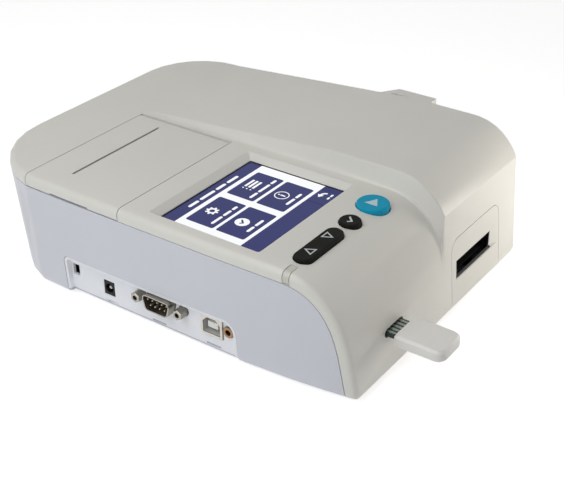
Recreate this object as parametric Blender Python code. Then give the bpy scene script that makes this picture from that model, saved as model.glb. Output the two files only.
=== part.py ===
# Bench-top immunofluorescence analyzer: a moulded two-part case with a printer, a colour
# touch display, keys, a card reader and its scanning optics. Metres, +Z up, +X to the
# user's right, +Y towards the rear. The origin lies under the middle of the whole outline,
# at the level that the rubber feet stand on.

import math

import bmesh
import bpy
from mathutils import Matrix, Vector

# Case
CASE_WIDTH = 0.166
CASE_DEPTH = 0.216
CASE_STAND = 0.002
DECK_HEIGHT = 0.0602
WALL = 0.0022
RIM_RADIUS = 0.003
LEFT_CORNER_RADIUS = 0.045
RIGHT_CORNER_RADIUS = 0.036
WALL_LEAN = 0.003
REAR_LEAN = 0.0062
FRONT_TURN = 0.0022
FRONT_TURN_DEPTH = 0.064
FOOT_TURN = 0.0057
FOOT_TURN_DEPTH = 0.150
FRONT_LEAN = 0.0054
BASE_ROUNDING = 0.0028
SEAM_DROP = 0.0058
SEAM_BAND = 0.0055
SEAM_GAP = 0.0004
RIM_STEPS = 4
CORNER_STEPS = 6

# Front sweep of the low deck
SWEEP_DEPTH = 0.033
SWEEP_FOOT = 0.024
SWEEP_TOP_PULL = 0.018
SWEEP_FRONT_PULL = 0.023
SWEEP_STEPS = 9
HALVINGS = 40

# Raised zone on the right
FLANK_FOOT = 0.0853
FLANK_RUN = 0.0043
RAISE_HEIGHT = 0.0085
RAISE_FLAT_END = 0.065
RAISE_REAR_STAND = 0.002
RAISE_REAR_END = CASE_DEPTH - RIGHT_CORNER_RADIUS - RAISE_REAR_STAND
BROW_DEPTH = 0.030
BROW_CREST_DROP = 0.0075
BROW_CREST_HEIGHT = DECK_HEIGHT - BROW_CREST_DROP
BROW_TURN = math.radians(62)
# Each pair is a share of the flank's run and the share of its height reached there.
FLANK_SHARES = ((0.0, 0.0), (0.22, 0.08), (0.46, 0.36), (0.72, 0.78), (0.87, 0.95), (1.0, 1.0))
DECK_ROW_SHARES = (0.28, 0.52, 0.76)

# Clearances
FIT_GAP = 0.0003
RUN_GAP = 0.0004
OVERRUN = 0.004
MERGE = 0.0008

# Screen, which fills the low deck between the left wall and the raised zone
SCREEN_MARGIN = 0.00835
SCREEN_SHIFT = -0.0001
SCREEN_WIDTH = FLANK_FOOT - 2 * SCREEN_MARGIN
SCREEN_HEIGHT = 0.0555
SCREEN_FROM_LEFT = FLANK_FOOT / 2 + SCREEN_SHIFT
SCREEN_FROM_FRONT = 0.0766
WELL_DEPTH = 0.003
WELL_LIP = 0.0004
WELL_SIDE_SLOPE = 0.0032
WELL_REAR_SLOPE = 0.0036
WELL_NEAR_SLOPE = 0.0012
WELL_FRAME = 0.0035
WELL_CORNER = 0.0006
GLASS_THICKNESS = 0.0012
GLASS_MARGIN = 0.0012
DISPLAY_THICKNESS = 0.0038
DISPLAY_FRAME_THICKNESS = 0.0012
DISPLAY_WINDOW_SHARE = 0.8

# Keys
KEY_ROW_FROM_FRONT = 0.0302
KEY_PROUD = 0.0014
KEY_FLANGE = 0.0009
KEY_FLANGE_DROP = 0.0058
KEY_TRAVEL = 0.0012
KEY_DISH = 0.0005
KEY_DISH_SHARE = 0.8
KEY_DISH_MIDDLE_SHARE = 0.33
OK_KEY_RADIUS = 0.0050
START_KEY_RADIUS = 0.0076
START_KEY_MARGIN = 0.0166
START_KEY_PITCH = 0.0189
START_KEY_FROM_LEFT = FLANK_FOOT - START_KEY_MARGIN
OK_KEY_FROM_LEFT = START_KEY_FROM_LEFT - START_KEY_PITCH
ROCKER_LEFT = 0.0100
ROCKER_SPACING = 0.0036
ROCKER_RIGHT = OK_KEY_FROM_LEFT - OK_KEY_RADIUS - ROCKER_SPACING
ROCKER_FROM_LEFT = (ROCKER_LEFT + ROCKER_RIGHT) / 2
ROCKER_LENGTH = ROCKER_RIGHT - ROCKER_LEFT
ROCKER_WIDTH = 0.0086
ROCKER_TILT_ROOM = 0.0004
ROCKER_LUG_WIDTH = 0.005
ROCKER_TRUNNION_RADIUS = 0.0009
ROCKER_TRUNNION_DROP = 0.0055
ROCKER_EAR = 0.0018
KEYPAD_THICKNESS = 0.0016
KEYPAD_DROP = 0.0115
KEYPAD_FROM_LEFT = 0.0054
KEYPAD_MARGIN = 0.0053
KEYPAD_LENGTH = FLANK_FOOT - KEYPAD_MARGIN - KEYPAD_FROM_LEFT
KEYPAD_WIDTH = 0.0124
DOME_RADIUS = 0.0025
DOME_HEIGHT = 0.0016
DOME_RIM_SHARE = 0.55
DOME_SHEET_THICKNESS = 0.0004
DOME_SHEET_MARGIN = 0.0027
KEY_POST_RADIUS = 0.0018
KEYPAD_POST_FROM_FRONT = 0.0346
KEYPAD_POST_INSET = 0.0023
OK_POST_BEFORE = 0.0071
OK_POST_AFTER = 0.0076

# Heat-staked posts that hold the display frame and the keypad under the upper cover
STAKE_POST_RADIUS = 0.0014
STAKE_PIN_RADIUS = 0.0008
STAKE_HEAD_RADIUS = 0.0015
STAKE_HEAD_HEIGHT = 0.0009

# Status light
LIGHT_FROM_FRONT = 0.0298
LIGHT_WIDTH = 0.003
LIGHT_REACH = 0.0072

# Printer cover and hinge
COVER_REAR = 0.179
COVER_STAND = 0.002
COVER_RIGHT = FLANK_FOOT - COVER_STAND
HINGE_RADIUS = 0.0022
HINGE_PIN_RADIUS = 0.0008
HINGE_PIN_GAP = 0.00025
HINGE_BOSS = 0.003
HINGE_BOSS_DROP = 0.0028
NOTCH_FROM_FRONT = 0.151
NOTCH_LENGTH = 0.024
NOTCH_HEIGHT = 0.0006
SLOT_FROM_FRONT = 0.161
SLOT_WIDTH = 0.0014
CATCH_WIDTH = 0.006
CATCH_THICKNESS = 0.0014
CATCH_DROP = 0.0055
CATCH_SET_BACK = 0.0068

# Printer inside the bay
BAY_LEFT = 0.0125
BAY_RIGHT_STAND = 0.0061
BAY_RIGHT = COVER_RIGHT - BAY_RIGHT_STAND
BAY_REAR = 0.1775
BAY_DROP = 0.0077
BAY_TOP = DECK_HEIGHT - BAY_DROP
BAY_WALL = 0.0016
BAY_FLANGE = 0.005
BAY_HANGER_WIDTH = 0.007
SLOT_FROM_LEFT = (BAY_LEFT + BAY_RIGHT) / 2
SLOT_LENGTH = BAY_RIGHT - BAY_LEFT - 2 * BAY_WALL
ROLL_FROM_FRONT = 0.1405
ROLL_DROP = 0.0227
ROLL_HEIGHT = DECK_HEIGHT - ROLL_DROP
ROLL_RADIUS = 0.0148
ROLL_UNDER = 0.0031
ROLL_FRONT_GAP = 0.0016
BAY_FLOOR = ROLL_HEIGHT - ROLL_RADIUS - ROLL_UNDER - BAY_WALL
BAY_FRONT = ROLL_FROM_FRONT - ROLL_RADIUS - ROLL_FRONT_GAP - BAY_WALL
BAY_COVER_LAP = 0.0015
COVER_FRONT = BAY_FRONT - BAY_COVER_LAP
ROLL_BORE = 0.0062
ROLL_END_GAP = 0.002
ROLL_LENGTH = SLOT_LENGTH - 2 * ROLL_END_GAP
SPINDLE_RADIUS = 0.0052
SPINDLE_JOURNAL = 0.002
PLATEN_RADIUS = 0.0053
PLATEN_DROP = 0.0154
PLATEN_HEIGHT = DECK_HEIGHT - PLATEN_DROP
PLATEN_SHAFT_RADIUS = 0.0015
PLATEN_LENGTH = ROLL_LENGTH
HEAD_THICKNESS = 0.0036
HEAD_HEIGHT = 0.013
MOTOR_RADIUS = 0.006
MOTOR_LENGTH = 0.016
MOTOR_FROM_FRONT = 0.1688
MOTOR_DROP = 0.0286
MOTOR_HEIGHT = DECK_HEIGHT - MOTOR_DROP
MOTOR_SHAFT_RADIUS = 0.0007
GEAR_TEETH = 18
PINION_TEETH = 11
GEAR_THICKNESS = 0.0028
GEAR_STAND_OFF = 0.0008
ADDENDUM_SHARE = 0.8
DEDENDUM_SHARE = 1.15
TOOTH_TIP_SHARE = 0.24
TOOTH_ROOT_SHARE = 0.6

# Card reader
CARD_FROM_LEFT = 0.11785
CARD_SLOT_WIDTH = 0.0355
CARD_SLOT_HEIGHT = 0.0081
CARD_SLOT_MIDDLE = 0.0197
CARD_PANEL_LEFT = 0.0953
CARD_PANEL_RIGHT = 0.1438
CARD_PANEL_TOP = 0.0365
CARD_PANEL_CORNER = 0.0065
CARD_BEVEL_TOP = 0.0035
CARD_BEVEL_RIGHT = 0.0052
CARD_BEVEL_DEPTH = 0.0012
CARD_SLOT_RELIEF = 0.003
GUIDE_WALL = 0.0016
GUIDE_START = 0.0062
GUIDE_END = 0.108
GUIDE_ROOM = 0.0003
GUIDE_LIP = 0.004
GUIDE_LEG = 0.006

# Scanning optics
RAIL_FRONT = 0.0265
RAIL_REAR = 0.1165
RAIL_PLATE = 0.003
RAIL_LEG = 0.0045
OPTIC_BOTTOM = 0.0305
OPTIC_DROP = 0.0067
OPTIC_TOP = DECK_HEIGHT - OPTIC_DROP
RAIL_LIFT = 0.0005
RAIL_HEIGHT = (OPTIC_BOTTOM + OPTIC_TOP) / 2 + RAIL_LIFT
RAIL_OVER = 0.007
RAIL_TOP = RAIL_HEIGHT + RAIL_OVER
ROD_RADIUS = 0.002
ROD_SPACING = 0.030
SCREW_RADIUS = 0.0015
NUT_RADIUS = 0.0042
NUT_LENGTH = 0.006
OPTIC_WIDTH = 0.037
OPTIC_LENGTH = 0.030
OPTIC_REAR = 0.108
LENS_RADIUS = 0.0045
LENS_THICKNESS = 0.0016
SENSOR_SIZE = 0.009
SENSOR_HEIGHT = 0.0035
STEPPER_SIZE = 0.020
STEPPER_LENGTH = 0.024
STEPPER_CORNER = 0.003

# Code chip and its socket
CHIP_FROM_LEFT = 0.0425
CHIP_HEIGHT = 0.0206
CHIP_SLOT_WIDTH = 0.0154
CHIP_SLOT_HEIGHT = 0.0042
CHIP_BODY_WIDTH = 0.019
CHIP_BODY_THICKNESS = 0.006
CHIP_BODY_LENGTH = 0.024
CHIP_BODY_CORNER = 0.0045
CHIP_BODY_CHAMFER = 0.0011
CHIP_STAND_OFF = 0.0031
CHIP_TONGUE_LENGTH = 0.015
CHIP_TONGUE_WIDTH = 0.0132
CHIP_TONGUE_THICKNESS = 0.0018
CHIP_TONGUE_HOLD = 0.004
SOCKET_FRONT = 0.0078
SOCKET_LENGTH = 0.0125
SOCKET_WALL = 0.0018
SOCKET_ROOM = 0.0007
CHIP_PEDESTAL = 0.005

# Connector recess in the left wall
RECESS_FRONT = 0.0605
RECESS_REAR = 0.1592
RECESS_TOP = 0.0202
RECESS_FLOOR = 0.0056
RECESS_CORNER = 0.005
RECESS_REAR_CORNER = 0.0015
PANEL_THICKNESS = 0.0016
PANEL_RIM = 0.0014
SLOPE_STEPS = 6
LOCK_SLOT_FROM_FRONT = 0.1565
LOCK_SLOT_LENGTH = 0.0042
LOCK_SLOT_HEIGHT = 0.006
LOCK_SLOT_MIDDLE = 0.0135
POWER_FROM_FRONT = 0.1354
POWER_HEIGHT = 0.0106
POWER_FACE_WIDTH = 0.0062
POWER_FACE_HEIGHT = 0.0074
POWER_BODY_WIDTH = 0.009
POWER_BODY_DEPTH = 0.012
POWER_BORE_RADIUS = 0.00245
POWER_BORE_DEPTH = 0.008
POWER_PIN_RADIUS = 0.00085
SERIAL_FROM_FRONT = 0.1022
SERIAL_HEIGHT = 0.0156
SERIAL_WIDE = 0.0169
SERIAL_TALL = 0.0083
SERIAL_TAPER = 0.0019
SERIAL_CORNER = 0.0022
SERIAL_SKIN = 0.0006
SERIAL_PROUD = 0.005
SERIAL_FLANGE_LENGTH = 0.0308
SERIAL_FLANGE_HEIGHT = 0.0122
SERIAL_FLANGE_THICKNESS = 0.0008
SERIAL_BODY_DEPTH = 0.009
SERIAL_BODY_LENGTH = 0.0185
SERIAL_BODY_HEIGHT = 0.0098
SERIAL_PIN_PITCH = 0.00277
SERIAL_PIN_ROW = 0.00284
SERIAL_PIN_RADIUS = 0.0005
SERIAL_PIN_PROUD = 0.0042
SERIAL_PIN_ROWS = ((5, 1), (4, -1))
SERIAL_SCREW_PITCH = 0.02499
SERIAL_SCREW_RADIUS = 0.0027
SERIAL_SCREW_PROUD = 0.005
SERIAL_SCREW_BORE = 0.0014
SERIAL_SCREW_BORE_DEPTH = 0.004
USB_FROM_FRONT = 0.0733
USB_HEIGHT = 0.0139
USB_WIDTH = 0.0121
USB_TALL = 0.0105
USB_SKIN = 0.0012
USB_DEPTH = 0.016
USB_CAVITY = 0.0095
USB_PROUD = 0.0008
USB_CHAMFER_SHARE = 0.2
USB_TONGUE_WIDTH = 0.0056
USB_TONGUE_HEIGHT = 0.0031
PROBE_FROM_FRONT = 0.0639
PROBE_HEIGHT = 0.0142
PROBE_RADIUS = 0.0027
PROBE_BORE_RADIUS = 0.0015
PROBE_PROUD = 0.0009
PROBE_DEPTH = 0.009
PROBE_BODY = 0.0066

# Main board
BOARD_LEFT = 0.0088
BOARD_RIGHT = 0.086
BOARD_FRONT = 0.052
BOARD_REAR = 0.150
BOARD_BOTTOM = 0.0036
BOARD_THICKNESS = 0.0016
BOARD_SCREW_INSET = 0.004
BOARD_SCREW_RADIUS = 0.0013
BOARD_SCREW_HEAD = 0.0025
BOARD_SCREW_HEAD_HEIGHT = 0.0014
BOARD_BOSS_RADIUS = 0.0034
CHIP_SIZE = 0.014
CHIP_THICKNESS = 0.0014
CELL_RADIUS = 0.008
CELL_THICKNESS = 0.0032

# Case screws and feet
POST_RADIUS = 0.0032
POST_BORE = 0.0011
POST_JOINT = 0.014
SCREW_SHANK_RADIUS = 0.00095
SCREW_CLEAR_RADIUS = 0.0016
CASE_SCREW_LENGTH = 0.018
CASE_SCREW_HEAD_RADIUS = 0.0027
CASE_SCREW_HEAD_HEIGHT = 0.0018
SCREW_POCKET_RADIUS = 0.0032
SCREW_POCKET_DEPTH = 0.0075
LOWER_BOSS_RADIUS = 0.0052
CORNER_NAMES = ("front_left", "front_right", "rear_left", "rear_right")
FRONT_POST_INSET = 0.0140
FRONT_POST_FROM_FRONT = 0.0401
REAR_POST_INSET = 0.042
REAR_POST_FROM_REAR = 0.0195
FOOT_RADIUS = 0.0055
FOOT_SINK = 0.0008
FOOT_INSET = 0.026

# Moulding on the right wall
COWL_PROUD = 0.008
COWL_FRONT = 0.056
COWL_FLAT_END = 0.078
COWL_REAR = 0.105
COWL_DROP = 0.0014
COWL_REAR_DROP = 0.0107
COWL_TOP = DECK_HEIGHT + RAISE_HEIGHT - COWL_DROP
COWL_REAR_TOP = COWL_TOP - COWL_REAR_DROP
COWL_BOTTOM = 0.030
COWL_ROUNDING = 0.0012
COWL_PEG_RADIUS = 0.002
COWL_PEG_LENGTH = 0.0035

# Facets
ROUND = 24
FINE_ROUND = 16
COARSE_ROUND = 12
BORE_ROUND = 12
HEX = 6
CORNER_FACETS = 5
SMOOTH_ANGLE = math.radians(32)

# Derived places. Distances from the left wall, the front and the case base give world places.
CHIP_REACH = CHIP_STAND_OFF + CHIP_BODY_LENGTH
LEFT = -(CASE_WIDTH + COWL_PROUD) / 2
RIGHT = LEFT + CASE_WIDTH
FRONT = CHIP_REACH - (CASE_DEPTH + CHIP_REACH) / 2
REAR = FRONT + CASE_DEPTH
BASE = CASE_STAND
DECK = BASE + DECK_HEIGHT
SEAM = DECK - SEAM_DROP
RAISED_TOP = DECK + RAISE_HEIGHT
CREST_DEPTH = FRONT_LEAN * BROW_CREST_HEIGHT / DECK_HEIGHT
HINGE_X = LEFT + COVER_RIGHT - HINGE_RADIUS
HINGE_Z = DECK - HINGE_RADIUS

FINISHES = {
    "case_white": ((0.83, 0.83, 0.82, 1), 0.38, 0),
    "panel_white": ((0.80, 0.83, 0.88, 1), 0.35, 0),
    "inner_grey": ((0.42, 0.44, 0.46, 1), 0.6, 0),
    "dark_plastic": ((0.05, 0.05, 0.055, 1), 0.5, 0),
    "key_black": ((0.03, 0.035, 0.035, 1), 0.45, 0),
    "key_teal": ((0.02, 0.30, 0.42, 1), 0.4, 0),
    "light_pipe": ((0.80, 0.79, 0.70, 1), 0.3, 0),
    "glass_dark": ((0.05, 0.06, 0.16, 1), 0.08, 0),
    "board_green": ((0.03, 0.22, 0.10, 1), 0.5, 0),
    "steel": ((0.62, 0.62, 0.63, 1), 0.3, 1),
    "nickel": ((0.72, 0.70, 0.66, 1), 0.25, 1),
    "gold": ((0.83, 0.62, 0.25, 1), 0.25, 1),
    "brass": ((0.70, 0.50, 0.22, 1), 0.3, 1),
    "aluminium": ((0.70, 0.71, 0.72, 1), 0.4, 1),
    "rubber_black": ((0.04, 0.04, 0.04, 1), 0.8, 0),
    "platen_rubber": ((0.10, 0.10, 0.11, 1), 0.7, 0),
    "paper": ((0.90, 0.90, 0.88, 1), 0.85, 0),
    "gear_white": ((0.85, 0.84, 0.78, 1), 0.45, 0),
    "lens_glass": ((0.55, 0.65, 0.75, 1), 0.05, 0),
}


def world(from_left, from_front, above_base):
    """World place of a point given from the case's left wall, front and base."""
    return Vector((LEFT + from_left, FRONT + from_front, BASE + above_base))


# Scene and materials


def clear_scene():
    for obj in list(bpy.data.objects):
        bpy.data.objects.remove(obj, do_unlink=True)


def make_finishes():
    made = {}
    for name, (colour, roughness, metallic) in FINISHES.items():
        material = bpy.data.materials.new(name)
        material.use_nodes = True
        shader = material.node_tree.nodes["Principled BSDF"]
        shader.inputs["Base Color"].default_value = colour
        shader.inputs["Roughness"].default_value = roughness
        shader.inputs["Metallic"].default_value = metallic
        material.diffuse_color = colour
        made[name] = material
    return made


# Mesh tools


def loft(shape, rings, closed=False):
    """Joins rings of equal length with quads. An open run of rings gets a cap at each end."""
    made = [[shape.verts.new(point) for point in ring] for ring in rings]
    pairs = list(zip(made, made[1:]))
    if closed:
        pairs.append((made[-1], made[0]))
    for first, second in pairs:
        for k in range(len(first)):
            after = (k + 1) % len(first)
            shape.faces.new((first[k], first[after], second[after], second[k]))
    if not closed:
        shape.faces.new(reversed(made[0]))
        shape.faces.new(made[-1])


def block(shape, low, high):
    """Box between two corners."""
    corners = [(low[0], low[1]), (high[0], low[1]), (high[0], high[1]), (low[0], high[1])]
    loft(shape, [[(x, y, z) for x, y in corners] for z in (low[2], high[2])])


def about(centre, size):
    """Low and high corners of a box of this size about a centre."""
    half = Vector(size) / 2
    return Vector(centre) - half, Vector(centre) + half


def frame_of(axis):
    """Two unit vectors across an axis."""
    axis = Vector(axis).normalized()
    side = Vector((0, 0, 1)) if abs(axis.z) < abs(axis.x) + abs(axis.y) else Vector((0, 1, 0))
    across = side.cross(axis).normalized()
    return across, axis.cross(across).normalized()


def ring(centre, axis, radius, count, turn=0.0):
    """Points of a circle about an axis, or of a regular polygon."""
    across, up = frame_of(axis)
    points = []
    for k in range(count):
        angle = turn + 2 * math.pi * k / count
        points.append(Vector(centre) + across * (radius * math.cos(angle)) + up * (radius * math.sin(angle)))
    return points


def turned(shape, start, axis, profile, count=ROUND, turn=0.0, closed=False):
    """Solid turned about an axis: profile is a list of (distance along the axis, radius)."""
    axis = Vector(axis).normalized()
    rings = [ring(Vector(start) + axis * along, axis, radius, count, turn) for along, radius in profile]
    loft(shape, rings, closed)


def rod(shape, start, axis, length, radius, count=ROUND, turn=0.0):
    turned(shape, start, axis, [(0, radius), (length, radius)], count, turn)


def tube(shape, start, axis, length, radius, bore, count=ROUND):
    profile = [(0, radius), (length, radius), (length, bore), (0, bore)]
    turned(shape, start, axis, profile, count, 0.0, True)


def prism(shape, outline, axis, low, high):
    """Extrudes an outline along a world axis. The outline's two values are the other axes in order."""
    rings = []
    for value in (low, high):
        points = []
        for first, second in outline:
            place = [first, second]
            place.insert("xyz".index(axis), value)
            points.append(place)
        rings.append(points)
    loft(shape, rings)


def rounded_box_outline(low, high, radii, facets=CORNER_FACETS):
    """Rectangle with a radius for each corner, from the low corner on, anticlockwise."""
    corners = [(low[0], low[1]), (high[0], low[1]), (high[0], high[1]), (low[0], high[1])]
    outline = []
    for k, (x, y) in enumerate(corners):
        radius = radii[k]
        if radius == 0:
            outline.append((x, y))
            continue
        cx = x + radius if x == low[0] else x - radius
        cy = y + radius if y == low[1] else y - radius
        start = math.pi + k * math.pi / 2
        for step in range(facets + 1):
            angle = start + step * math.pi / (2 * facets)
            outline.append((cx + radius * math.cos(angle), cy + radius * math.sin(angle)))
    return outline


def finish_mesh(shape, name):
    bmesh.ops.recalc_face_normals(shape, faces=shape.faces[:])
    mesh = bpy.data.meshes.new(name)
    shape.to_mesh(mesh)
    shape.free()
    return mesh


def add_object(name, mesh, finish, pivot=None):
    """Puts a mesh made in world space into the scene, with its origin on the pivot."""
    if pivot is not None:
        mesh.transform(Matrix.Translation(-Vector(pivot)))
    mesh.shade_smooth()
    mesh.set_sharp_from_angle(angle=SMOOTH_ANGLE)
    obj = bpy.data.objects.new(name, mesh)
    if pivot is not None:
        obj.location = pivot
    if finish is not None:
        obj.data.materials.append(finish)
    bpy.context.scene.collection.objects.link(obj)
    return obj


def piece(name, shape, finish, pivot=None):
    return add_object(name, finish_mesh(shape, name), finish, pivot)


def tool(name, shape):
    """Helper solid for a Boolean: out of the render, drawn as wire."""
    obj = add_object(name, finish_mesh(shape, name), None)
    obj.hide_render = True
    obj.display_type = "WIRE"
    return obj


def boolean(obj, helper, operation):
    modifier = obj.modifiers.new(helper.name, "BOOLEAN")
    modifier.operation = operation
    modifier.solver = "EXACT"
    modifier.object = helper


def cut(obj, name, shape):
    boolean(obj, tool(name, shape), "DIFFERENCE")


def join(obj, name, shape):
    boolean(obj, tool(name, shape), "UNION")


def keep(obj, name, shape):
    boolean(obj, tool(name, shape), "INTERSECT")


def settled_mesh(obj):
    """Copy of the object's mesh with its modifiers worked in."""
    bpy.context.view_layer.update()
    graph = bpy.context.evaluated_depsgraph_get()
    return bpy.data.meshes.new_from_object(obj.evaluated_get(graph), depsgraph=graph)


# Outer form of the case


def front_face(above_base):
    """World y of the leaning front face at a height above the case base."""
    return FRONT + FRONT_LEAN * above_base / DECK_HEIGHT


def sweep_point(share):
    """Point of the front sweep, from the deck at 0 to the front face at 1, as world y and z."""
    foot = Vector((front_face(SWEEP_FOOT), BASE + SWEEP_FOOT))
    start = Vector((FRONT + SWEEP_DEPTH, DECK))
    up_face = Vector((FRONT_LEAN, DECK_HEIGHT)).normalized()
    first = start - Vector((SWEEP_TOP_PULL, 0))
    second = foot + up_face * SWEEP_FRONT_PULL
    rest = 1 - share
    return (
        start * rest**3
        + first * (3 * rest * rest * share)
        + second * (3 * rest * share * share)
        + foot * share**3
    )


def sweep_height(y):
    """World z of the low deck's sweep at a world y."""
    if y >= FRONT + SWEEP_DEPTH:
        return DECK
    low, high = 0.0, 1.0
    for _ in range(HALVINGS):
        middle = (low + high) / 2
        if sweep_point(middle).x > y:
            low = middle
        else:
            high = middle
    return sweep_point(high).y


def raised_height(y):
    """World z of the raised zone's top, its brow or the front face under it."""
    depth = y - FRONT
    if depth >= BROW_DEPTH:
        share = (RAISE_REAR_END - depth) / (RAISE_REAR_END - RAISE_FLAT_END)
        return DECK + RAISE_HEIGHT * min(max(share, 0), 1)
    if depth >= CREST_DEPTH:
        reach = (BROW_DEPTH - CREST_DEPTH) / math.sin(BROW_TURN)
        fall = (RAISED_TOP - BASE - BROW_CREST_HEIGHT) / (1 - math.cos(BROW_TURN))
        turn = math.asin((BROW_DEPTH - depth) / reach)
        return RAISED_TOP - fall * (1 - math.cos(turn))
    return BASE + depth * DECK_HEIGHT / FRONT_LEAN


def profile_rows():
    """World y of each row of the top, from the base of the front to the start of the rear corners."""
    sweep = [sweep_point(1 - step / SWEEP_STEPS).x for step in range(SWEEP_STEPS + 1)]
    crest = FRONT + CREST_DEPTH
    nearest = min(range(1, SWEEP_STEPS), key=lambda k: abs(sweep[k] - crest))
    sweep[nearest] = crest
    flat = FRONT + RAISE_FLAT_END
    rear = FRONT + RAISE_REAR_END
    slope = [flat + (rear - flat) * share for share in DECK_ROW_SHARES]
    return sweep + [flat] + slope + [rear, REAR - RIGHT_CORNER_RADIUS]


def corner_radius(side):
    return LEFT_CORNER_RADIUS if side < 0 else RIGHT_CORNER_RADIUS


def side_inset(y, z, side):
    """How far a side wall stands in: it leans, and it bends away to the larger rear corner.

    The left wall also turns in towards the front, at its foot more than at the deck.
    """
    rim_foot = (DECK if side < 0 else RAISED_TOP) - RIM_RADIUS
    down = max(0, rim_foot - z) / (rim_foot - BASE)
    radius = corner_radius(side)
    past = max(0, y - REAR + radius)
    inset = WALL_LEAN * down + radius - math.sqrt(radius**2 - past**2)
    if side < 0:
        depth = y - FRONT
        inset += FRONT_TURN * max(0, 1 - depth / FRONT_TURN_DEPTH) ** 2
        inset += FOOT_TURN * down * max(0, 1 - depth / FOOT_TURN_DEPTH) ** 2
    return inset


def outward_normals(profile):
    """Unit normals of a profile in y and z. The first row faces forward."""
    normals = [Vector((-1, 0))]
    for k in range(1, len(profile) - 1):
        along = profile[k + 1] - profile[k - 1]
        normals.append(Vector((-along.y, along.x)).normalized())
    normals.append(Vector((0, 1)))
    return normals


def moved_in(profile, normals, inset):
    """The profile's points moved in along its normals, with the first on the raised base."""
    moved = [place - normal * inset for place, normal in zip(profile, normals)]
    moved[0] = Vector((front_face(inset) + inset, BASE + inset))
    return moved


def case_form(inset):
    """Closed solid of the whole case: leaning front, swept deck, raised zone and rounded rim.

    An inset moves every surface in by that much, which gives the hollow inside the wall.
    """
    shape = bmesh.new()
    rows = profile_rows()
    rim = RIM_RADIUS - inset
    top = DECK - inset
    base = BASE + inset
    rear_y = REAR - inset
    low = [Vector((FRONT, BASE))] + [Vector((y, sweep_height(y))) for y in rows]
    high = [Vector((FRONT, BASE))] + [Vector((y, raised_height(y))) for y in rows]
    low_normals = outward_normals(low)
    high_normals = outward_normals(high)
    low = moved_in(low, low_normals, inset)
    high = moved_in(high, high_normals, inset)
    turns = [k * math.pi / 2 / RIM_STEPS for k in range(RIM_STEPS + 1)]

    def side_column(profile, normals, row, side):
        wall = LEFT + inset if side < 0 else RIGHT - inset
        column = []
        for turn in turns:
            place = profile[row] - normals[row] * (rim * (1 - math.cos(turn)))
            across = rim * (1 - math.sin(turn)) + side_inset(profile[row].x, place.y, side)
            column.append(shape.verts.new((wall - side * across, place.x, place.y)))
        if row == 0:
            column.append(column[-1])
        else:
            foot = wall - side * side_inset(profile[row].x, BASE, side)
            column.append(shape.verts.new((foot, column[-1].co.y, base)))
        return column

    def corner_columns(side):
        radius = corner_radius(side)
        corner = radius - inset
        middle = Vector(((LEFT if side < 0 else RIGHT) - side * radius, REAR - radius))
        first = math.asin((radius - RIGHT_CORNER_RADIUS) / radius)
        columns = []
        for step in range(1, CORNER_STEPS + 1):
            share = step / CORNER_STEPS
            angle = first + (math.pi / 2 - first) * share
            away = Vector((side * math.cos(angle), math.sin(angle)))
            column = []
            for turn in turns:
                plan = middle + away * (corner - rim * (1 - math.sin(turn)))
                height = top - rim * (1 - math.cos(turn))
                column.append(shape.verts.new((plan.x, plan.y, height)))
            plan = middle + away * (corner - WALL_LEAN - (REAR_LEAN - WALL_LEAN) * share)
            column.append(shape.verts.new((plan.x, plan.y, base)))
            columns.append(column)
        return columns

    def rear_column(x):
        column = []
        for turn in turns:
            y = rear_y - rim * (1 - math.sin(turn))
            column.append(shape.verts.new((x, y, top - rim * (1 - math.cos(turn)))))
        column.append(shape.verts.new((x, rear_y - REAR_LEAN, base)))
        return column

    count = len(low)
    left = [side_column(low, low_normals, row, -1) for row in range(count)]
    right = [side_column(high, high_normals, row, 1) for row in range(count)]
    left_corner = corner_columns(-1)
    right_corner = corner_columns(1)
    shift = inset * math.tan(math.atan2(RAISE_HEIGHT, FLANK_RUN) / 2)
    stations = [(LEFT + FLANK_FOOT + FLANK_RUN * run + shift, rise) for run, rise in FLANK_SHARES]
    rear = [rear_column(x) for x, _ in stations]

    grid = []
    for row in range(count):
        inner = []
        for x, rise in stations:
            place = low[row].lerp(high[row], rise)
            inner.append(shape.verts.new((x, place.x, place.y)))
        grid.append([left[row][0]] + inner + [right[row][0]])
    for step in range(CORNER_STEPS - 1):
        y = left_corner[step][0].co.y
        inner = [shape.verts.new((x, y, top)) for x, _ in stations]
        grid.append([left_corner[step][0]] + inner + [right_corner[step][0]])
    grid.append([left_corner[-1][0]] + [column[0] for column in rear] + [right_corner[-1][0]])
    for first, second in zip(grid, grid[1:]):
        for k in range(len(first) - 1):
            shape.faces.new((first[k], first[k + 1], second[k + 1], second[k]))

    path = left + left_corner + rear + right_corner[::-1] + right[::-1]
    for first, second in zip(path, path[1:]):
        for k in range(len(first) - 1):
            corners = [first[k], second[k], second[k + 1], first[k + 1]]
            different = [vert for n, vert in enumerate(corners) if vert not in corners[:n]]
            if len(different) > 2:
                shape.faces.new(different)
    around = [column[-1] for column in path]
    around += right[0][-3::-1] + grid[0][-2:0:-1] + left[0][:-2]
    bottom = shape.faces.new(around)
    bmesh.ops.recalc_face_normals(shape, faces=shape.faces[:])
    bmesh.ops.bevel(
        shape,
        geom=bottom.edges[:],
        offset=BASE_ROUNDING - inset,
        segments=2,
        profile=0.5,
        affect="EDGES",
    )
    bmesh.ops.triangulate(shape, faces=[face for face in shape.faces if len(face.verts) > 4])
    return shape


def case_shell_mesh():
    """Hollow case: the outer form less the form of its inside."""
    outer = tool("case_outside", case_form(0))
    cut(outer, "case_inside", case_form(WALL))
    mesh = settled_mesh(outer)
    for name in ("case_outside", "case_inside"):
        bpy.data.objects.remove(bpy.data.objects[name], do_unlink=True)
    return mesh


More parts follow.
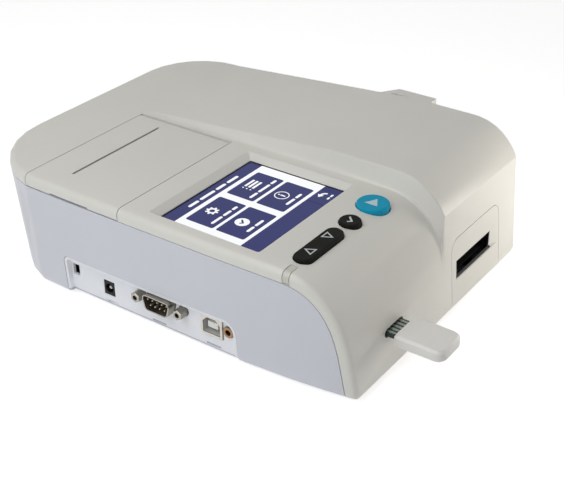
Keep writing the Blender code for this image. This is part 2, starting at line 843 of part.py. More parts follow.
def seam_outline(inset):
    """Outline in y and z of what lies above and before the seam, moved in by inset."""
    depth = SEAM_BAND + inset
    seam = SEAM + SEAM_GAP / 2 + (SEAM_GAP / 2 if inset < 0 else -SEAM_GAP / 2)
    points = [(REAR + OVERRUN, seam)]
    for step in range(SWEEP_STEPS + 1):
        share = step / SWEEP_STEPS
        here = sweep_point(share)
        before = sweep_point(max(share - 1 / SWEEP_STEPS, 0))
        after = sweep_point(min(share + 1 / SWEEP_STEPS, 1))
        along = (after - before).normalized()
        inward = Vector((-along.y, along.x))
        place = here + inward * (depth + (SEAM_DROP - SEAM_BAND) * (1 - share))
        points.append((place.x, place.y))
    points.append((front_face(-OVERRUN) + depth, BASE - OVERRUN))
    return points


def cover_region():
    outline = seam_outline(0)
    outline[0] = (REAR + OVERRUN, outline[1][1])
    far = RAISED_TOP + OVERRUN
    outline += [(FRONT - OVERRUN, BASE - OVERRUN), (FRONT - OVERRUN, far), (REAR + OVERRUN, far)]
    shape = bmesh.new()
    prism(shape, outline, "x", LEFT - OVERRUN, RIGHT + OVERRUN)
    return shape


def lower_region():
    outline = seam_outline(SEAM_GAP)
    outline[0] = (REAR + OVERRUN, outline[1][1])
    outline += [(REAR + OVERRUN, BASE - OVERRUN)]
    shape = bmesh.new()
    prism(shape, outline, "x", LEFT - OVERRUN, RIGHT + OVERRUN)
    return shape


# Display and keypad places


def screen_middle():
    return Vector((LEFT + SCREEN_FROM_LEFT, FRONT + SCREEN_FROM_FRONT))


def glass_size():
    return SCREEN_WIDTH + 2 * GLASS_MARGIN, SCREEN_HEIGHT + 2 * GLASS_MARGIN


def display_frame_top():
    return DECK - WELL_DEPTH - 3 * FIT_GAP - GLASS_THICKNESS - DISPLAY_THICKNESS


def keypad_top():
    return DECK - KEYPAD_DROP


def keypad_corners():
    """Low and high corners of the keypad board."""
    low = world(KEYPAD_FROM_LEFT, KEY_ROW_FROM_FRONT - KEYPAD_WIDTH / 2, 0)
    low.z = keypad_top() - KEYPAD_THICKNESS
    return low, low + Vector((KEYPAD_LENGTH, KEYPAD_WIDTH, KEYPAD_THICKNESS))


def display_posts():
    middle = screen_middle()
    width, height = glass_size()
    reach = STAKE_POST_RADIUS + 2 * FIT_GAP
    return [
        Vector((middle.x + sx * (width / 2 + reach), middle.y + sy * (height / 2 + reach), display_frame_top()))
        for sx in (-1, 1)
        for sy in (-1, 1)
    ]


def keypad_posts():
    from_left = (
        KEYPAD_FROM_LEFT + KEYPAD_POST_INSET,
        OK_KEY_FROM_LEFT - OK_POST_BEFORE,
        OK_KEY_FROM_LEFT + OK_POST_AFTER,
    )
    places = [world(x, KEYPAD_POST_FROM_FRONT, 0) for x in from_left]
    return [Vector((place.x, place.y, keypad_top())) for place in places]


# Shared outlines


def printer_cover_outline(room):
    low = (LEFT - OVERRUN, FRONT + COVER_FRONT - room)
    high = (LEFT + COVER_RIGHT + room, FRONT + COVER_REAR + room)
    return [low, (high[0], low[1]), high, (low[0], high[1])]


def card_panel_outline(room):
    low = (LEFT + CARD_PANEL_LEFT - room, BASE - OVERRUN)
    high = (LEFT + CARD_PANEL_RIGHT + room, BASE + CARD_PANEL_TOP + room)
    corner = CARD_PANEL_CORNER + room
    return rounded_box_outline(low, high, (0, 0, corner, corner))


def light_pipe_block(shape, room):
    y = FRONT + LIGHT_FROM_FRONT
    low = (LEFT - OVERRUN, y - LIGHT_WIDTH / 2 - room, SEAM)
    high = (LEFT + LIGHT_REACH + room, y + LIGHT_WIDTH / 2 + room, DECK + OVERRUN)
    block(shape, low, high)


def pill_outline(middle, length, width, facets=CORNER_FACETS):
    low = (middle[0] - length / 2, middle[1] - width / 2)
    high = (middle[0] + length / 2, middle[1] + width / 2)
    return rounded_box_outline(low, high, (width / 2,) * 4, facets)


def key_middle(from_left):
    return Vector((LEFT + from_left, FRONT + KEY_ROW_FROM_FRONT))


def recess_outline(grow):
    """Outline in y and z of the connector recess in the left wall, open at the base."""
    low = (FRONT + RECESS_FRONT - grow, BASE - OVERRUN)
    high = (FRONT + RECESS_REAR + grow, BASE + RECESS_TOP + grow)
    corners = (0, 0, RECESS_REAR_CORNER + grow, RECESS_CORNER + grow)
    return rounded_box_outline(low, high, corners)


# Case pieces


def well_outline(level, left, right, near, far):
    middle = screen_middle()
    low = (middle.x - SCREEN_WIDTH / 2 - left, middle.y - SCREEN_HEIGHT / 2 - near)
    high = (middle.x + SCREEN_WIDTH / 2 + right, middle.y + SCREEN_HEIGHT / 2 + far)
    corner = WELL_CORNER * (1 + (left + far) / WELL_REAR_SLOPE)
    return [(x, y, level) for x, y in rounded_box_outline(low, high, (corner,) * 4)]


def screen_well(shape):
    """Opening over the screen: bevelled walls, wide at the right and the rear, and a short lip."""
    slopes = (WELL_NEAR_SLOPE, WELL_SIDE_SLOPE, WELL_NEAR_SLOPE, WELL_REAR_SLOPE)
    drop = WELL_DEPTH - WELL_LIP
    above = [slope * (1 + OVERRUN / drop) for slope in slopes]
    loft(
        shape,
        [
            well_outline(DECK - WELL_DEPTH - OVERRUN, 0, 0, 0, 0),
            well_outline(DECK - drop, 0, 0, 0, 0),
            well_outline(DECK + OVERRUN, *above),
        ],
    )


def post_places():
    near = FRONT + FRONT_POST_FROM_FRONT
    far = REAR - REAR_POST_FROM_REAR
    return [
        Vector((LEFT + FRONT_POST_INSET, near)),
        Vector((RIGHT - FRONT_POST_INSET, near)),
        Vector((LEFT + REAR_POST_INSET, far)),
        Vector((RIGHT - REAR_POST_INSET, far)),
    ]


def ceiling(place):
    """Inner face of the case's top over a screw post."""
    raised = place.x > LEFT + FLANK_FOOT
    height = raised_height(place.y) if raised else DECK
    return height - WALL


def make_upper_cover(shell, finish):
    cover = add_object("upper_cover", shell.copy(), finish)
    keep(cover, "cover_region", cover_region())

    added = bmesh.new()
    middle = screen_middle()
    reach = (
        SCREEN_WIDTH + 2 * (WELL_SIDE_SLOPE + WELL_FRAME),
        SCREEN_HEIGHT + 2 * (WELL_REAR_SLOPE + WELL_FRAME),
    )
    low = (middle.x - reach[0] / 2, middle.y - reach[1] / 2, DECK - WELL_DEPTH)
    low = (max(low[0], LEFT + WALL + MERGE), low[1], low[2])
    block(added, low, (middle.x + reach[0] / 2, middle.y + reach[1] / 2, DECK - MERGE))
    join(cover, "cover_screen_frame", added)
    added = bmesh.new()
    for place in post_places():
        top = ceiling(place) + MERGE
        bottom = BASE + POST_JOINT + FIT_GAP
        rod(added, (place.x, place.y, bottom), (0, 0, 1), top - bottom, POST_RADIUS, COARSE_ROUND)
    plates = [(place, DISPLAY_FRAME_THICKNESS) for place in display_posts()]
    plates += [(place, KEYPAD_THICKNESS) for place in keypad_posts()]
    for place, thickness in plates:
        under = place.z - thickness - FIT_GAP
        profile = [
            (under - STAKE_HEAD_HEIGHT, STAKE_PIN_RADIUS),
            (under - STAKE_HEAD_HEIGHT / 2, STAKE_HEAD_RADIUS),
            (under, STAKE_HEAD_RADIUS),
            (under, STAKE_PIN_RADIUS),
            (place.z + FIT_GAP, STAKE_PIN_RADIUS),
            (place.z + FIT_GAP, STAKE_POST_RADIUS),
            (DECK - MERGE, STAKE_POST_RADIUS),
        ]
        turned(added, (place.x, place.y, 0), (0, 0, 1), profile, BORE_ROUND)
    place = key_middle(ROCKER_FROM_LEFT)
    axis = rocker_axis_height()
    for side in (-1, 1):
        near = place.y + side * (ROCKER_WIDTH / 2 + KEY_FLANGE + RUN_GAP)
        low, high = sorted((near, near + side * ROCKER_EAR))
        half = ROCKER_LUG_WIDTH / 2
        top = min(sweep_height(low), DECK) - MERGE
        block(added, (place.x - half, low, axis - half), (place.x + half, high, top))
    for y, step in ((COVER_FRONT - RUN_GAP, -1), (COVER_REAR + RUN_GAP, 1)):
        near, far = sorted((FRONT + y, FRONT + y + step * HINGE_BOSS))
        low = (HINGE_X - HINGE_RADIUS, near, HINGE_Z - HINGE_BOSS_DROP)
        block(added, low, (HINGE_X + HINGE_RADIUS, far, DECK - MERGE))
    join(cover, "cover_bosses", added)

    holes = bmesh.new()
    screen_well(holes)
    prism(holes, printer_cover_outline(RUN_GAP), "z", SEAM - OVERRUN, DECK + OVERRUN)
    prism(holes, card_panel_outline(FIT_GAP), "y", FRONT - OVERRUN, FRONT + SEAM_BAND + OVERRUN)
    light_pipe_block(holes, FIT_GAP)
    for from_left, radius in ((OK_KEY_FROM_LEFT, OK_KEY_RADIUS), (START_KEY_FROM_LEFT, START_KEY_RADIUS)):
        place = key_middle(from_left)
        start = (place.x, place.y, DECK - OVERRUN - WALL)
        rod(holes, start, (0, 0, 1), WALL + 2 * OVERRUN, radius + RUN_GAP, ROUND)
    rocker = pill_outline(
        key_middle(ROCKER_FROM_LEFT), ROCKER_LENGTH + 2 * ROCKER_TILT_ROOM, ROCKER_WIDTH + 2 * RUN_GAP
    )
    prism(holes, rocker, "z", DECK - OVERRUN - WALL, DECK + OVERRUN)
    slot = pill_outline((LEFT + CHIP_FROM_LEFT, BASE + CHIP_HEIGHT), CHIP_SLOT_WIDTH, CHIP_SLOT_HEIGHT)
    prism(holes, slot, "y", FRONT - OVERRUN, FRONT + SEAM_BAND + OVERRUN)
    cut(cover, "cover_openings", holes)

    bores = bmesh.new()
    for post in post_places():
        start = (post.x, post.y, BASE + POST_JOINT - OVERRUN)
        depth = CASE_SCREW_LENGTH + OVERRUN - (POST_JOINT - SCREW_POCKET_DEPTH)
        rod(bores, start, (0, 0, 1), depth + OVERRUN / 2, POST_BORE, BORE_ROUND)
    reach = ROCKER_WIDTH / 2 + KEY_FLANGE + RUN_GAP + ROCKER_EAR + FIT_GAP
    place = key_middle(ROCKER_FROM_LEFT)
    start = (place.x, place.y - reach, axis)
    rod(bores, start, (0, 1, 0), 2 * reach, ROCKER_TRUNNION_RADIUS + FIT_GAP, BORE_ROUND)
    start = (HINGE_X, FRONT + COVER_FRONT - RUN_GAP - HINGE_BOSS + FIT_GAP, HINGE_Z)
    length = COVER_REAR - COVER_FRONT + 2 * (RUN_GAP + HINGE_BOSS - FIT_GAP)
    rod(bores, start, (0, 1, 0), length, HINGE_PIN_RADIUS + HINGE_PIN_GAP, BORE_ROUND)
    cut(cover, "cover_bores", bores)
    return cover


def foot_places():
    reach = FOOT_INSET
    return [
        Vector((LEFT + reach, FRONT + reach)),
        Vector((RIGHT - reach, FRONT + reach)),
        Vector((LEFT + reach, REAR - reach)),
        Vector((RIGHT - reach, REAR - reach)),
    ]


def board_screw_places():
    """The two screws sit at opposite corners of the main board."""
    inset = BOARD_SCREW_INSET
    return [
        Vector((LEFT + BOARD_LEFT + inset, FRONT + BOARD_REAR - inset)),
        Vector((LEFT + BOARD_RIGHT - inset, FRONT + BOARD_FRONT + inset)),
    ]


def chip_pedestal_top():
    """Height above the base of the two pedestals under the chip socket."""
    return CHIP_HEIGHT - CHIP_TONGUE_THICKNESS / 2 - SOCKET_ROOM - SOCKET_WALL - FIT_GAP


def make_lower_case(shell, finish):
    lower = add_object("lower_case", shell.copy(), finish)
    keep(lower, "lower_region", lower_region())

    added = bmesh.new()
    for place in post_places():
        start = (place.x, place.y, BASE + MERGE)
        rod(added, start, (0, 0, 1), POST_JOINT - MERGE, LOWER_BOSS_RADIUS, COARSE_ROUND)
    for place in board_screw_places():
        start = (place.x, place.y, BASE + MERGE)
        rod(added, start, (0, 0, 1), BOARD_BOTTOM - FIT_GAP - MERGE, BOARD_BOSS_RADIUS, COARSE_ROUND)
    width = CHIP_TONGUE_WIDTH + 2 * (SOCKET_ROOM + SOCKET_WALL)
    for side in (-1, 1):
        x = LEFT + CHIP_FROM_LEFT + side * (width - CHIP_PEDESTAL) / 2
        low = (x - CHIP_PEDESTAL / 2, FRONT + SOCKET_FRONT + MERGE, BASE + MERGE)
        high = (x + CHIP_PEDESTAL / 2, FRONT + SOCKET_FRONT + SOCKET_LENGTH, BASE + chip_pedestal_top())
        block(added, low, high)
    join(lower, "lower_bosses", added)

    holes = bmesh.new()
    wall_reach = RECESS_FLOOR + PANEL_THICKNESS + FIT_GAP
    prism(holes, recess_outline(PANEL_RIM + FIT_GAP), "x", LEFT - OVERRUN, LEFT + wall_reach)
    for place in post_places():
        pocket = [
            (-OVERRUN, SCREW_POCKET_RADIUS),
            (SCREW_POCKET_DEPTH, SCREW_POCKET_RADIUS),
            (SCREW_POCKET_DEPTH, SCREW_CLEAR_RADIUS),
            (POST_JOINT + OVERRUN, SCREW_CLEAR_RADIUS),
        ]
        turned(holes, (place.x, place.y, BASE), (0, 0, 1), pocket, COARSE_ROUND)
    for place in foot_places():
        start = (place.x, place.y, BASE - OVERRUN)
        rod(holes, start, (0, 0, 1), OVERRUN + FOOT_SINK + FIT_GAP, FOOT_RADIUS + FIT_GAP, ROUND)
    pegs = ((COWL_FRONT + COWL_FLAT_END) / 2, COWL_FLAT_END + COWL_PEG_LENGTH)
    for from_front in pegs:
        start = (RIGHT - WALL - OVERRUN, FRONT + from_front, cowl_peg_height())
        rod(holes, start, (1, 0, 0), WALL + 2 * OVERRUN, COWL_PEG_RADIUS + FIT_GAP, BORE_ROUND)
    cut(lower, "lower_openings", holes)

    bores = bmesh.new()
    for place in board_screw_places():
        start = (place.x, place.y, BASE + BOARD_SCREW_RADIUS)
        rod(bores, start, (0, 0, 1), BOARD_BOTTOM + OVERRUN, BOARD_SCREW_RADIUS + FIT_GAP, BORE_ROUND)
    cut(lower, "lower_bores", bores)
    return lower


def make_printer_cover(shell, finish):
    cover = add_object("printer_cover", shell.copy(), finish)
    plate = bmesh.new()
    low = (LEFT - OVERRUN, FRONT + COVER_FRONT, SEAM + SEAM_GAP)
    block(plate, low, (HINGE_X, FRONT + COVER_REAR, DECK + OVERRUN))
    keep(cover, "printer_cover_region", plate)

    barrel = bmesh.new()
    length = COVER_REAR - COVER_FRONT
    start = (HINGE_X, FRONT + COVER_FRONT, HINGE_Z)
    rod(barrel, start, (0, 1, 0), length, HINGE_RADIUS, ROUND)
    catch_x = LEFT + CATCH_SET_BACK
    y = FRONT + NOTCH_FROM_FRONT
    block(
        barrel,
        (catch_x, y - CATCH_WIDTH / 2, DECK - WALL - CATCH_DROP),
        (catch_x + CATCH_THICKNESS, y + CATCH_WIDTH / 2, DECK - MERGE),
    )
    join(cover, "printer_cover_barrel", barrel)
    outline = bmesh.new()
    prism(outline, printer_cover_outline(0), "z", BASE, DECK + OVERRUN)
    keep(cover, "printer_cover_outline", outline)

    holes = bmesh.new()
    slot = about(
        world(SLOT_FROM_LEFT, SLOT_FROM_FRONT, DECK_HEIGHT), (SLOT_LENGTH, SLOT_WIDTH, 2 * (WALL + OVERRUN))
    )
    block(holes, *slot)
    start = (HINGE_X, FRONT + COVER_FRONT - OVERRUN, HINGE_Z)
    rod(holes, start, (0, 1, 0), length + 2 * OVERRUN, HINGE_PIN_RADIUS + HINGE_PIN_GAP, BORE_ROUND)
    notch_low = (LEFT - OVERRUN, y - NOTCH_LENGTH / 2, SEAM - OVERRUN)
    block(holes, notch_low, (LEFT + WALL + MERGE, y + NOTCH_LENGTH / 2, SEAM + SEAM_GAP + NOTCH_HEIGHT))
    cut(cover, "printer_cover_openings", holes)
    move_origin(cover, (HINGE_X, FRONT + (COVER_FRONT + COVER_REAR) / 2, HINGE_Z))
    return cover


def move_origin(obj, pivot):
    """Sets an object's origin on its joint axis without moving its mesh in the world."""
    obj.data.transform(Matrix.Translation(obj.location - Vector(pivot)))
    obj.location = pivot


def make_hinge_pin(finish):
    shape = bmesh.new()
    reach = RUN_GAP + HINGE_BOSS - 2 * FIT_GAP
    start = (HINGE_X, FRONT + COVER_FRONT - reach, HINGE_Z)
    rod(shape, start, (0, 1, 0), COVER_REAR - COVER_FRONT + 2 * reach, HINGE_PIN_RADIUS, BORE_ROUND)
    piece("printer_cover_pin", shape, finish)


def make_light_pipe(shell, finish):
    pipe = add_object("status_light_pipe", shell.copy(), finish)
    region = bmesh.new()
    y = FRONT + LIGHT_FROM_FRONT
    low = (LEFT - OVERRUN, y - LIGHT_WIDTH / 2, SEAM + SEAM_GAP)
    block(region, low, (LEFT + LIGHT_REACH, y + LIGHT_WIDTH / 2, DECK + OVERRUN))
    keep(pipe, "light_pipe_region", region)


def make_card_panel(shell, finish):
    panel = add_object("card_slot_panel", shell.copy(), finish)
    keep(panel, "card_panel_band", cover_region())
    region = bmesh.new()
    prism(region, card_panel_outline(0), "y", FRONT - OVERRUN, FRONT + SEAM_BAND + OVERRUN)
    keep(panel, "card_panel_region", region)

    holes = bmesh.new()
    middle = world(CARD_FROM_LEFT, 0, CARD_SLOT_MIDDLE)
    half = Vector((CARD_SLOT_WIDTH / 2, CARD_SLOT_HEIGHT / 2))
    face = front_face(CARD_SLOT_MIDDLE)
    spread = 1 + OVERRUN / CARD_BEVEL_DEPTH
    relief = CARD_SLOT_RELIEF * (1 + OVERRUN / WALL)
    rings = []
    for y, grow, room in (
        (face + WALL + OVERRUN, 0, relief),
        (face + CARD_BEVEL_DEPTH, 0, 0),
        (face - OVERRUN, spread, 0),
    ):
        left = middle.x - half.x - CARD_BEVEL_DEPTH * grow / 2 - room
        right = middle.x + half.x + CARD_BEVEL_RIGHT * grow + room
        bottom = middle.z - half.y - CARD_BEVEL_DEPTH * grow / 2 - room
        top = middle.z + half.y + CARD_BEVEL_TOP * grow + room
        rings.append([(left, y, bottom), (right, y, bottom), (right, y, top), (left, y, top)])
    loft(holes, rings)
    cut(panel, "card_panel_slot", holes)


# Display


def make_display(finishes):
    middle = screen_middle()
    width, height = glass_size()

    glass = bmesh.new()
    top = DECK - WELL_DEPTH - FIT_GAP
    block(glass, *about((middle.x, middle.y, top - GLASS_THICKNESS / 2), (width, height, GLASS_THICKNESS)))
    piece("touch_panel", glass, finishes["glass_dark"])

    module = bmesh.new()
    top -= GLASS_THICKNESS + FIT_GAP
    block(module, *about((middle.x, middle.y, top - DISPLAY_THICKNESS / 2), (width, height, DISPLAY_THICKNESS)))
    piece("display_module", module, finishes["dark_plastic"])

    thickness = DISPLAY_FRAME_THICKNESS
    centre = (middle.x, middle.y, display_frame_top() - thickness / 2)
    margin = 2 * (2 * STAKE_POST_RADIUS + 2 * FIT_GAP)
    shape = bmesh.new()
    block(shape, *about(centre, (width + margin, height + margin, thickness)))
    frame = piece("display_frame", shape, finishes["aluminium"])
    holes = bmesh.new()
    share = DISPLAY_WINDOW_SHARE
    block(holes, *about(centre, (width * share, height * share, thickness + OVERRUN)))
    for place in display_posts():
        start = (place.x, place.y, place.z - OVERRUN)
        rod(holes, start, (0, 0, 1), 2 * OVERRUN, STAKE_PIN_RADIUS + FIT_GAP, BORE_ROUND)
    cut(frame, "display_frame_holes", holes)


# Keys


def round_key(name, from_left, radius, finish):
    place = key_middle(from_left)
    top = DECK + KEY_PROUD
    flange_top = DECK - KEY_FLANGE_DROP
    bottom = keypad_top() + DOME_HEIGHT + KEY_TRAVEL + RUN_GAP
    dish = radius * KEY_DISH_SHARE
    profile = [
        (bottom, KEY_POST_RADIUS),
        (flange_top - KEY_FLANGE, KEY_POST_RADIUS),
        (flange_top - KEY_FLANGE, radius + KEY_FLANGE),
        (flange_top, radius + KEY_FLANGE),
        (flange_top, radius),
        (top - KEY_DISH, radius),
        (top, radius - KEY_DISH),
        (top, dish - KEY_DISH),
        (top - KEY_DISH / 2, radius * KEY_DISH_MIDDLE_SHARE),
    ]
    shape = bmesh.new()
    turned(shape, (place.x, place.y, 0), (0, 0, 1), profile, ROUND)
    piece(name, shape, finish, (place.x, place.y, DECK))


def rocker_axis_height():
    return DECK - ROCKER_TRUNNION_DROP


def make_keys(finishes):
    round_key("ok_key", OK_KEY_FROM_LEFT, OK_KEY_RADIUS, finishes["key_black"])
    round_key("start_key", START_KEY_FROM_LEFT, START_KEY_RADIUS, finishes["key_teal"])

    place = key_middle(ROCKER_FROM_LEFT)
    pin = (place.x, place.y, rocker_axis_height())
    top = DECK + KEY_PROUD
    flange_top = DECK - KEY_FLANGE_DROP
    shape = bmesh.new()
    rings = []
    for level, shrink in ((flange_top, 0), (top - KEY_DISH, 0), (top, KEY_DISH)):
        outline = pill_outline(place, ROCKER_LENGTH - 2 * shrink, ROCKER_WIDTH - 2 * shrink)
        rings.append([(x, y, level) for x, y in outline])
    loft(shape, rings)
    rocker = piece("rocker_key", shape, finishes["key_black"], pin)
    lug = bmesh.new()
    flange = pill_outline(place, ROCKER_LENGTH + 2 * KEY_FLANGE, ROCKER_WIDTH + 2 * KEY_FLANGE)
    prism(lug, flange, "z", flange_top - KEY_FLANGE, flange_top + KEY_FLANGE / 4)
    join(rocker, "rocker_flange", lug)
    lug = bmesh.new()
    half = ROCKER_LUG_WIDTH / 2
    reach = ROCKER_WIDTH / 2 + KEY_FLANGE
    low = (place.x - half, place.y - reach, pin[2] - half)
    block(lug, low, (place.x + half, place.y + reach, flange_top))
    for side in (-1, 1):
        x = place.x + side * (ROCKER_LENGTH / 2 - ROCKER_WIDTH / 2)
        bottom = keypad_top() + DOME_HEIGHT + KEY_TRAVEL + RUN_GAP
        rod(lug, (x, place.y, bottom), (0, 0, 1), flange_top - bottom, KEY_POST_RADIUS, COARSE_ROUND)
    join(rocker, "rocker_lug", lug)
    trunnions = bmesh.new()
    reach += RUN_GAP + ROCKER_EAR - FIT_GAP
    start = (place.x, place.y - reach, pin[2])
    rod(trunnions, start, (0, 1, 0), 2 * reach, ROCKER_TRUNNION_RADIUS, BORE_ROUND)
    join(rocker, "rocker_trunnions", trunnions)


def make_keypad(finishes):
    top = keypad_top()
    shape = bmesh.new()
    block(shape, *keypad_corners())
    board = piece("keypad_board", shape, finishes["board_green"])
    holes = bmesh.new()
    for place in keypad_posts():
        start = (place.x, place.y, place.z - OVERRUN)
        rod(holes, start, (0, 0, 1), 2 * OVERRUN, STAKE_PIN_RADIUS + FIT_GAP, BORE_ROUND)
    cut(board, "keypad_board_holes", holes)

    place = key_middle(0)
    rocker_reach = ROCKER_LENGTH / 2 - ROCKER_WIDTH / 2
    from_left = (
        ROCKER_FROM_LEFT - rocker_reach,
        ROCKER_FROM_LEFT + rocker_reach,
        OK_KEY_FROM_LEFT,
        START_KEY_FROM_LEFT,
    )
    shape = bmesh.new()
    reach = DOME_SHEET_MARGIN
    low = (place.x + from_left[0] - reach, place.y - reach, top + FIT_GAP)
    high = (place.x + from_left[-1] + reach, place.y + reach, low[2] + DOME_SHEET_THICKNESS)
    block(shape, low, high)
    sheet = piece("dome_sheet", shape, finishes["steel"])
    domes = bmesh.new()
    for across in from_left:
        profile = [
            (DOME_SHEET_THICKNESS / 2, DOME_RADIUS),
            (DOME_HEIGHT / 2, DOME_RADIUS),
            (DOME_HEIGHT - FIT_GAP, DOME_RADIUS * DOME_RIM_SHARE),
        ]
        turned(domes, (place.x + across, place.y, top + FIT_GAP), (0, 0, 1), profile, COARSE_ROUND)
    join(sheet, "dome_sheet_domes", domes)


# Printer


def make_printer_bay(finish):
    low = world(BAY_LEFT, BAY_FRONT, BAY_FLOOR)
    high = world(BAY_RIGHT, BAY_REAR, BAY_TOP)
    shape = bmesh.new()
    block(shape, low, high)
    bay = piece("printer_bay", shape, finish)
    inner = bmesh.new()
    wall = Vector((BAY_WALL, BAY_WALL, BAY_WALL))
    block(inner, low + wall, (high.x - BAY_WALL, high.y - BAY_WALL, high.z + OVERRUN))
    cut(bay, "printer_bay_inside", inner)

    hangers = bmesh.new()
    top = DECK - WALL - FIT_GAP
    for from_left in (BAY_LEFT, BAY_RIGHT - BAY_HANGER_WIDTH - HINGE_RADIUS):
        x0 = LEFT + from_left
        for wall_y, step in ((BAY_FRONT, -1), (BAY_REAR, 1)):
            y0 = FRONT + wall_y
            inside, outside = y0 - step * BAY_WALL / 2, y0 + step * BAY_FLANGE
            outline = [
                (inside, high.z - BAY_FLANGE),
                (outside, top - BAY_WALL),
                (outside, top),
                (y0 + step * FIT_GAP, top),
                (y0 + step * FIT_GAP, high.z - MERGE),
                (inside, high.z - MERGE),
            ]
            prism(hangers, outline, "x", x0, x0 + BAY_HANGER_WIDTH)
    join(bay, "printer_bay_hangers", hangers)

    holes = bmesh.new()
    length = BAY_RIGHT - BAY_LEFT + 2 * OVERRUN
    for from_front, height, radius in (
        (platen_from_front(), PLATEN_HEIGHT, PLATEN_SHAFT_RADIUS),
        (ROLL_FROM_FRONT, ROLL_HEIGHT, SPINDLE_JOURNAL),
    ):
        start = world(BAY_LEFT - OVERRUN, from_front, height)
        rod(holes, start, (1, 0, 0), length, radius + FIT_GAP, BORE_ROUND)
    start = world(BAY_LEFT - OVERRUN, MOTOR_FROM_FRONT, MOTOR_HEIGHT)
    rod(holes, start, (1, 0, 0), 2 * OVERRUN, MOTOR_SHAFT_RADIUS + FIT_GAP, BORE_ROUND)
    cut(bay, "printer_bay_holes", holes)


def platen_from_front():
    """The paper rises between the head and the platen, straight under the slot."""
    return SLOT_FROM_FRONT + PLATEN_RADIUS + FIT_GAP


def gear_outline(teeth, module, turn):
    pitch = teeth * module / 2
    outline = []
    for tooth in range(teeth):
        middle = turn + 2 * math.pi * tooth / teeth
        for radius, half_share in (
            (pitch - DEDENDUM_SHARE * module, -TOOTH_ROOT_SHARE),
            (pitch + ADDENDUM_SHARE * module, -TOOTH_TIP_SHARE),
            (pitch + ADDENDUM_SHARE * module, TOOTH_TIP_SHARE),
            (pitch - DEDENDUM_SHARE * module, TOOTH_ROOT_SHARE),
        ):
            angle = middle + half_share * math.pi / teeth
            outline.append((radius * math.cos(angle), radius * math.sin(angle)))
    return outline


def gear_solid(shape, centre, outline, bore, thickness):
    """Spur gear across the x axis with a round bore."""
    count = len(outline)
    rings = []
    for x, points in ((0, outline), (thickness, outline)):
        rings.append([(centre.x + x, centre.y + a, centre.z + b) for a, b in points])
    first = math.atan2(outline[0][1], outline[0][0])
    for x in (thickness, 0):
        points = []
        for k in range(count):
            angle = first + 2 * math.pi * k / count
            points.append((centre.x + x, centre.y + bore * math.cos(angle), centre.z + bore * math.sin(angle)))
        rings.append(points)
    loft(shape, rings, True)


